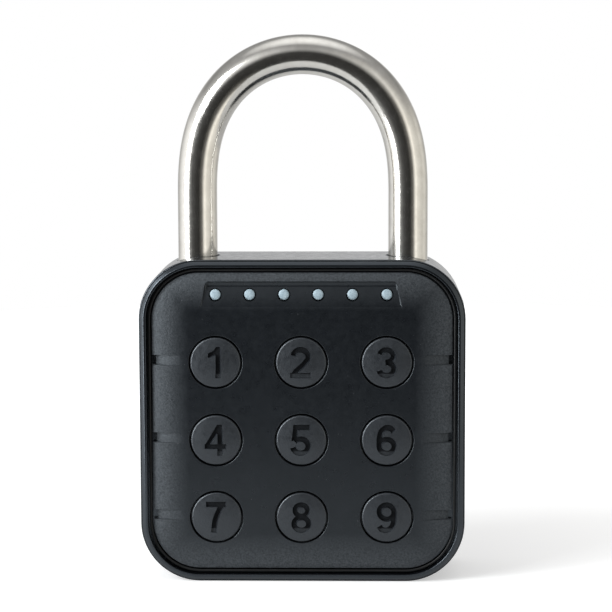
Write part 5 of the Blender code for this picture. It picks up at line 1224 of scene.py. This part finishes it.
def make_mat():
    """The silicone sheet under the keys, with a dome for each key."""
    low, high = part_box("keypad_mat")
    face = high[1] - MAT_THICKNESS
    centre_x, centre_z = (low[0] + high[0]) / 2, (low[2] + high[2]) / 2
    outline = rounded(high[0] - centre_x, high[2] - centre_z, MAT_CORNER_RADIUS, 8, centre_x, centre_z)
    sheet = solid("mat_sheet", prism_y(outline, face, high[1]))
    dress(sheet, "case", "grey_silicone", "keypad_mat")
    profile = []
    for i in range(9):
        share = i / 8
        radius = DOME_FOOT_RADIUS + (DOME_TOP_RADIUS - DOME_FOOT_RADIUS) * share
        profile.append((radius, face + (low[1] - face) * share * share * (3 - 2 * share)))
    for number, x, z in key_places():
        dome = solid(f"mat_dome_{number}", turned(profile, "Y", (x, 0, z), 48))
        dress(dome, "case", "grey_silicone")
        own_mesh(dome)


def make_bolt_springs():
    """Round wire coils between the bolt collars and the case."""
    for name, side in (("left", -1), ("right", 1)):
        low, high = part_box(f"bolt_spring_{name}")
        bolt_low, bolt_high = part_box(f"locking_bolt_{name}")
        centre_z = (bolt_low[2] + bolt_high[2]) / 2
        start, end = low[0] + BOLT_SPRING_WIRE, high[0] - BOLT_SPRING_WIRE
        rings = []
        count = BOLT_SPRING_TURNS * BOLT_SPRING_STEPS
        for i in range(count + 1):
            share = i / count
            turn = 2 * math.pi * BOLT_SPRING_TURNS * share
            ring = []
            for u, v in circle(BOLT_SPRING_WIRE, 10):
                reach = BOLT_SPRING_RADIUS + u
                place = start + (end - start) * share + v
                ring.append((place, reach * math.cos(turn), centre_z + reach * math.sin(turn)))
            rings.append(ring)
        coil = solid(f"bolt_coil_{name}", rings, sharp=60)
        dress(coil, "case", "spring_steel", f"bolt_spring_{name}", sharp=60)
        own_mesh(coil)


# Plug and reader


def make_plug():
    """The rubber plug: softly edged plate, nose, hinge strip and a finger notch."""
    steps = []
    for inset, drop in lips(PLUG_ROUNDING, (90, 60, 30, 0)):
        steps.append((port_outline(PLUG_WIDTH, PLUG_HEIGHT, PLUG_CORNER, -inset), PLUG_LOW_Z + drop))
    steps.append((port_outline(PLUG_WIDTH, PLUG_HEIGHT, PLUG_CORNER, 0), PLUG_TOP_Z))
    nose = rounded(NOSE_HALF_WIDTH, NOSE_HALF_HEIGHT, NOSE_CORNER, 12, 0, PORT_Y)
    small_half = (NOSE_HALF_WIDTH - NOSE_TAPER, NOSE_HALF_HEIGHT - NOSE_TAPER)
    small = rounded(*small_half, NOSE_CORNER - NOSE_TAPER / 2, 12, 0, PORT_Y)
    nose_end = PLUG_TOP_Z + NOSE_LENGTH
    steps += [(nose, PLUG_TOP_Z), (nose, nose_end - NOSE_TAPER), (small, nose_end)]
    plug = solid("plug", [[(x, y, z) for x, y in outline] for outline, z in steps])
    notch_x = PLUG_WIDTH / 2 - PULL_INSET
    notch = rounded(PULL_HALF_WIDTH, PULL_HALF_HEIGHT, PULL_CORNER, 10, notch_x, PORT_Y)
    slot_x = HINGE_INSET - PLUG_WIDTH / 2
    high = (slot_x + HINGE_WIDTH, PORT_Y + PLUG_HEIGHT, PLUG_LOW_Z + HINGE_DEPTH)
    slot = block((slot_x, PORT_Y - PLUG_HEIGHT, -OVERRUN), high)
    cut(plug, prism_z(notch, -OVERRUN, PLUG_LOW_Z + PULL_DEPTH), slot)
    dress(plug, "plug", "black_rubber", "port_plug")


def make_reader():
    """The reader's window and the metal ring round it."""
    profile = [(READER_BASE_RADIUS, READER_BASE_FRONT), (READER_BASE_RADIUS, READER_BASE_BACK)]
    profile.append((READER_RADIUS, READER_BASE_BACK))
    for inset, drop in lips(GLASS_ROUNDING, (0, 30, 60, 90)):
        profile.append((READER_RADIUS - inset, GLASS_BACK - drop))
    for i in range(7, 0, -1):
        share = i / 8
        radius = (READER_RADIUS - GLASS_ROUNDING) * share
        profile.append((radius, GLASS_BACK - GLASS_CROWN * (1 - share * share)))
    glass = solid("reader_window", turned(profile, "Y", (0, 0, READER_Z)))
    dress(glass, "case", "reader_glass", "fingerprint_sensor")

    inner, back = READER_RADIUS + SEAT_GAP, BEZEL_BACK
    profile = [(BEZEL_FLANGE_RADIUS, EAR_FRONT), (BEZEL_FLANGE_RADIUS, EAR_BACK), (BEZEL_OUTER, EAR_BACK)]
    profile += [(BEZEL_OUTER, back - BEZEL_CHAMFER), (BEZEL_OUTER - BEZEL_CHAMFER, back)]
    profile.append((inner + BEZEL_SLOPE_WIDTH, back))
    profile += arc(inner, back, BEZEL_SLOPE_WIDTH, -BEZEL_SLOPE_DEPTH, 20, 80, 3)
    profile += [(inner, back - BEZEL_SLOPE_WIDTH), (inner, EAR_FRONT)]
    ring = solid("reader_ring", turned(profile, "Y", (0, 0, READER_Z)), closed=True)
    ears = []
    for side in (-1, 1):
        low_x, high_x = sorted((side * EAR_START, side * EAR_REACH))
        low = (low_x, EAR_FRONT, READER_Z - EAR_HALF_HEIGHT)
        ears.append(block(low, (high_x, EAR_BACK, READER_Z + EAR_HALF_HEIGHT)))
    cut(ring, *ears, operation="UNION")
    post = [(EAR_POST_RADIUS, READER_BASE_FRONT), (EAR_POST_RADIUS, EAR_BACK)]
    hole = [(EAR_SCREW_HOLE, READER_BASE_FRONT - OVERRUN), (EAR_SCREW_HOLE, EAR_BACK + OVERRUN)]
    for profile, operation in ((post, "UNION"), (hole, "DIFFERENCE")):
        places = [(side * EAR_SCREW_X, 0, READER_Z) for side in (-1, 1)]
        cut(ring, *(turned(profile, "Y", place, 32) for place in places), operation=operation)
    dress(ring, "case", "bezel_metal", "sensor_bezel")


# Studio


def stage_material(name, colour):
    """A pale diffuse surface that fades to plain white for the camera away from the piece."""
    look = Look(name, colour, 0.9, Specular_IOR_Level=0.1, Emission_Color=(1, 1, 1))
    away = look.node("ShaderNodeVectorMath", {0: look.place}, operation="LENGTH").outputs["Value"]
    fade = look.spread(away, GLOW_START, GLOW_END, GLOW_NEAR, 1, "SMOOTHSTEP")
    seen = look.node("ShaderNodeLightPath").outputs["Is Camera Ray"]
    look.shade(colour, 0.9, Emission_Strength=look.combine(seen, fade))
    return look.material


def make_floor():
    bm = bmesh.new()
    bm.faces.new([bm.verts.new((x, y, 0)) for x, y in circle(FLOOR_RADIUS, 96, 0, FLOOR_BACK)])
    floor = mesh_object("floor", bm)
    floor.data.materials.append(stage_material("floor_look", FLOOR_COLOUR))


def ring_of_light(graph, turn, stops):
    """Brightness round the horizon, from (azimuth, brightness, warmth) with azimuth 0 at the camera."""
    ramp = graph.node("ShaderNodeValToRGB", {"Fac": turn})
    elements = ramp.color_ramp.elements
    elements[0].position = 0
    elements[1].position = 1
    for azimuth, _, _ in stops[1:]:
        elements.new(azimuth / 360 + 0.5)
    for element, (_, level, warmth) in zip(elements, stops + stops[:1]):
        element.color = (*(level * (1 - loss * warmth) for loss in WARM_LOSS), 1)
    return ramp.outputs["Color"]


def make_world():
    """Soft walls round the piece: bright left, creamy right, white behind, dim behind the camera."""
    world = bpy.data.worlds.new("studio")
    bpy.context.scene.world = world
    world.use_nodes = True
    graph = Graph(world.node_tree)
    ahead = graph.node("ShaderNodeTexCoord").outputs["Generated"]
    ahead = graph.node("ShaderNodeSeparateXYZ", {"Vector": ahead}).outputs
    azimuth = graph.combine(ahead["X"], graph.combine(ahead["Y"], -1), "ARCTAN2")
    turn = graph.spread(azimuth, -math.pi, math.pi, 0, 1)
    colour = ring_of_light(graph, turn, LOW_RING)
    for stops, low, high in BANDS:
        rise = graph.spread(ahead["Z"], low, high, 0, 1)
        colour = graph.mixed(rise, colour, ring_of_light(graph, turn, stops))
    walls = graph.nodes["Background"]
    graph.links.new(colour, walls.inputs["Color"])
    walls.inputs["Strength"].default_value = 1
    white = graph.node("ShaderNodeBackground", {"Color": (1, 1, 1)})
    seen = graph.node("ShaderNodeLightPath").outputs["Is Camera Ray"]
    feeds = {"Fac": seen, 1: walls.outputs["Background"], 2: white.outputs["Background"]}
    mix = graph.node("ShaderNodeMixShader", feeds)
    graph.links.new(mix.outputs["Shader"], graph.nodes["World Output"].inputs["Surface"])


def aimed(name, data, azimuth, elevation, distance, target, roll=0):
    """Puts a light or camera at a distance from its target, by its azimuth from the front."""
    turn, rise = math.radians(azimuth), math.radians(elevation)
    away = Vector((math.sin(turn) * math.cos(rise), -math.cos(turn) * math.cos(rise), math.sin(rise)))
    made = bpy.data.objects.new(name, data)
    made.location = Vector(target) + away * distance
    aim = (-away).to_track_quat("-Z", "Y").to_matrix().to_4x4()
    made.rotation_euler = (aim @ Matrix.Rotation(math.radians(roll), 4, "Z")).to_euler()
    bpy.context.scene.collection.objects.link(made)
    return made


def make_lights():
    for name, azimuth, elevation, size, power in LIGHTS:
        data = bpy.data.lights.new(name, "AREA")
        data.shape = "RECTANGLE"
        data.size, data.size_y = size
        data.energy = power
        data.color = LIGHT_COLOUR
        aimed(name, data, azimuth, elevation, LIGHT_DISTANCE, LIGHT_TARGET)


def make_camera():
    data = bpy.data.cameras.new("camera")
    data.sensor_width = SENSOR_WIDTH
    data.lens = FOCAL_PIXELS * SENSOR_WIDTH / IMAGE_WIDTH
    data.clip_start = 0.01
    data.clip_end = 20
    place = (CAMERA_AZIMUTH, CAMERA_ELEVATION, CAMERA_DISTANCE, CAMERA_TARGET, CAMERA_ROLL)
    bpy.context.scene.camera = aimed("camera", data, *place)


make_camera()
make_world()
make_floor()
make_lights()
bpy.context.scene.view_settings.view_transform = "Standard"
dress_nodes()
make_case()
make_plate()
make_gasket()
make_keys()
make_lamps()
make_bow()
make_seals()
make_mat()
make_bolt_springs()
make_plug()
make_reader()
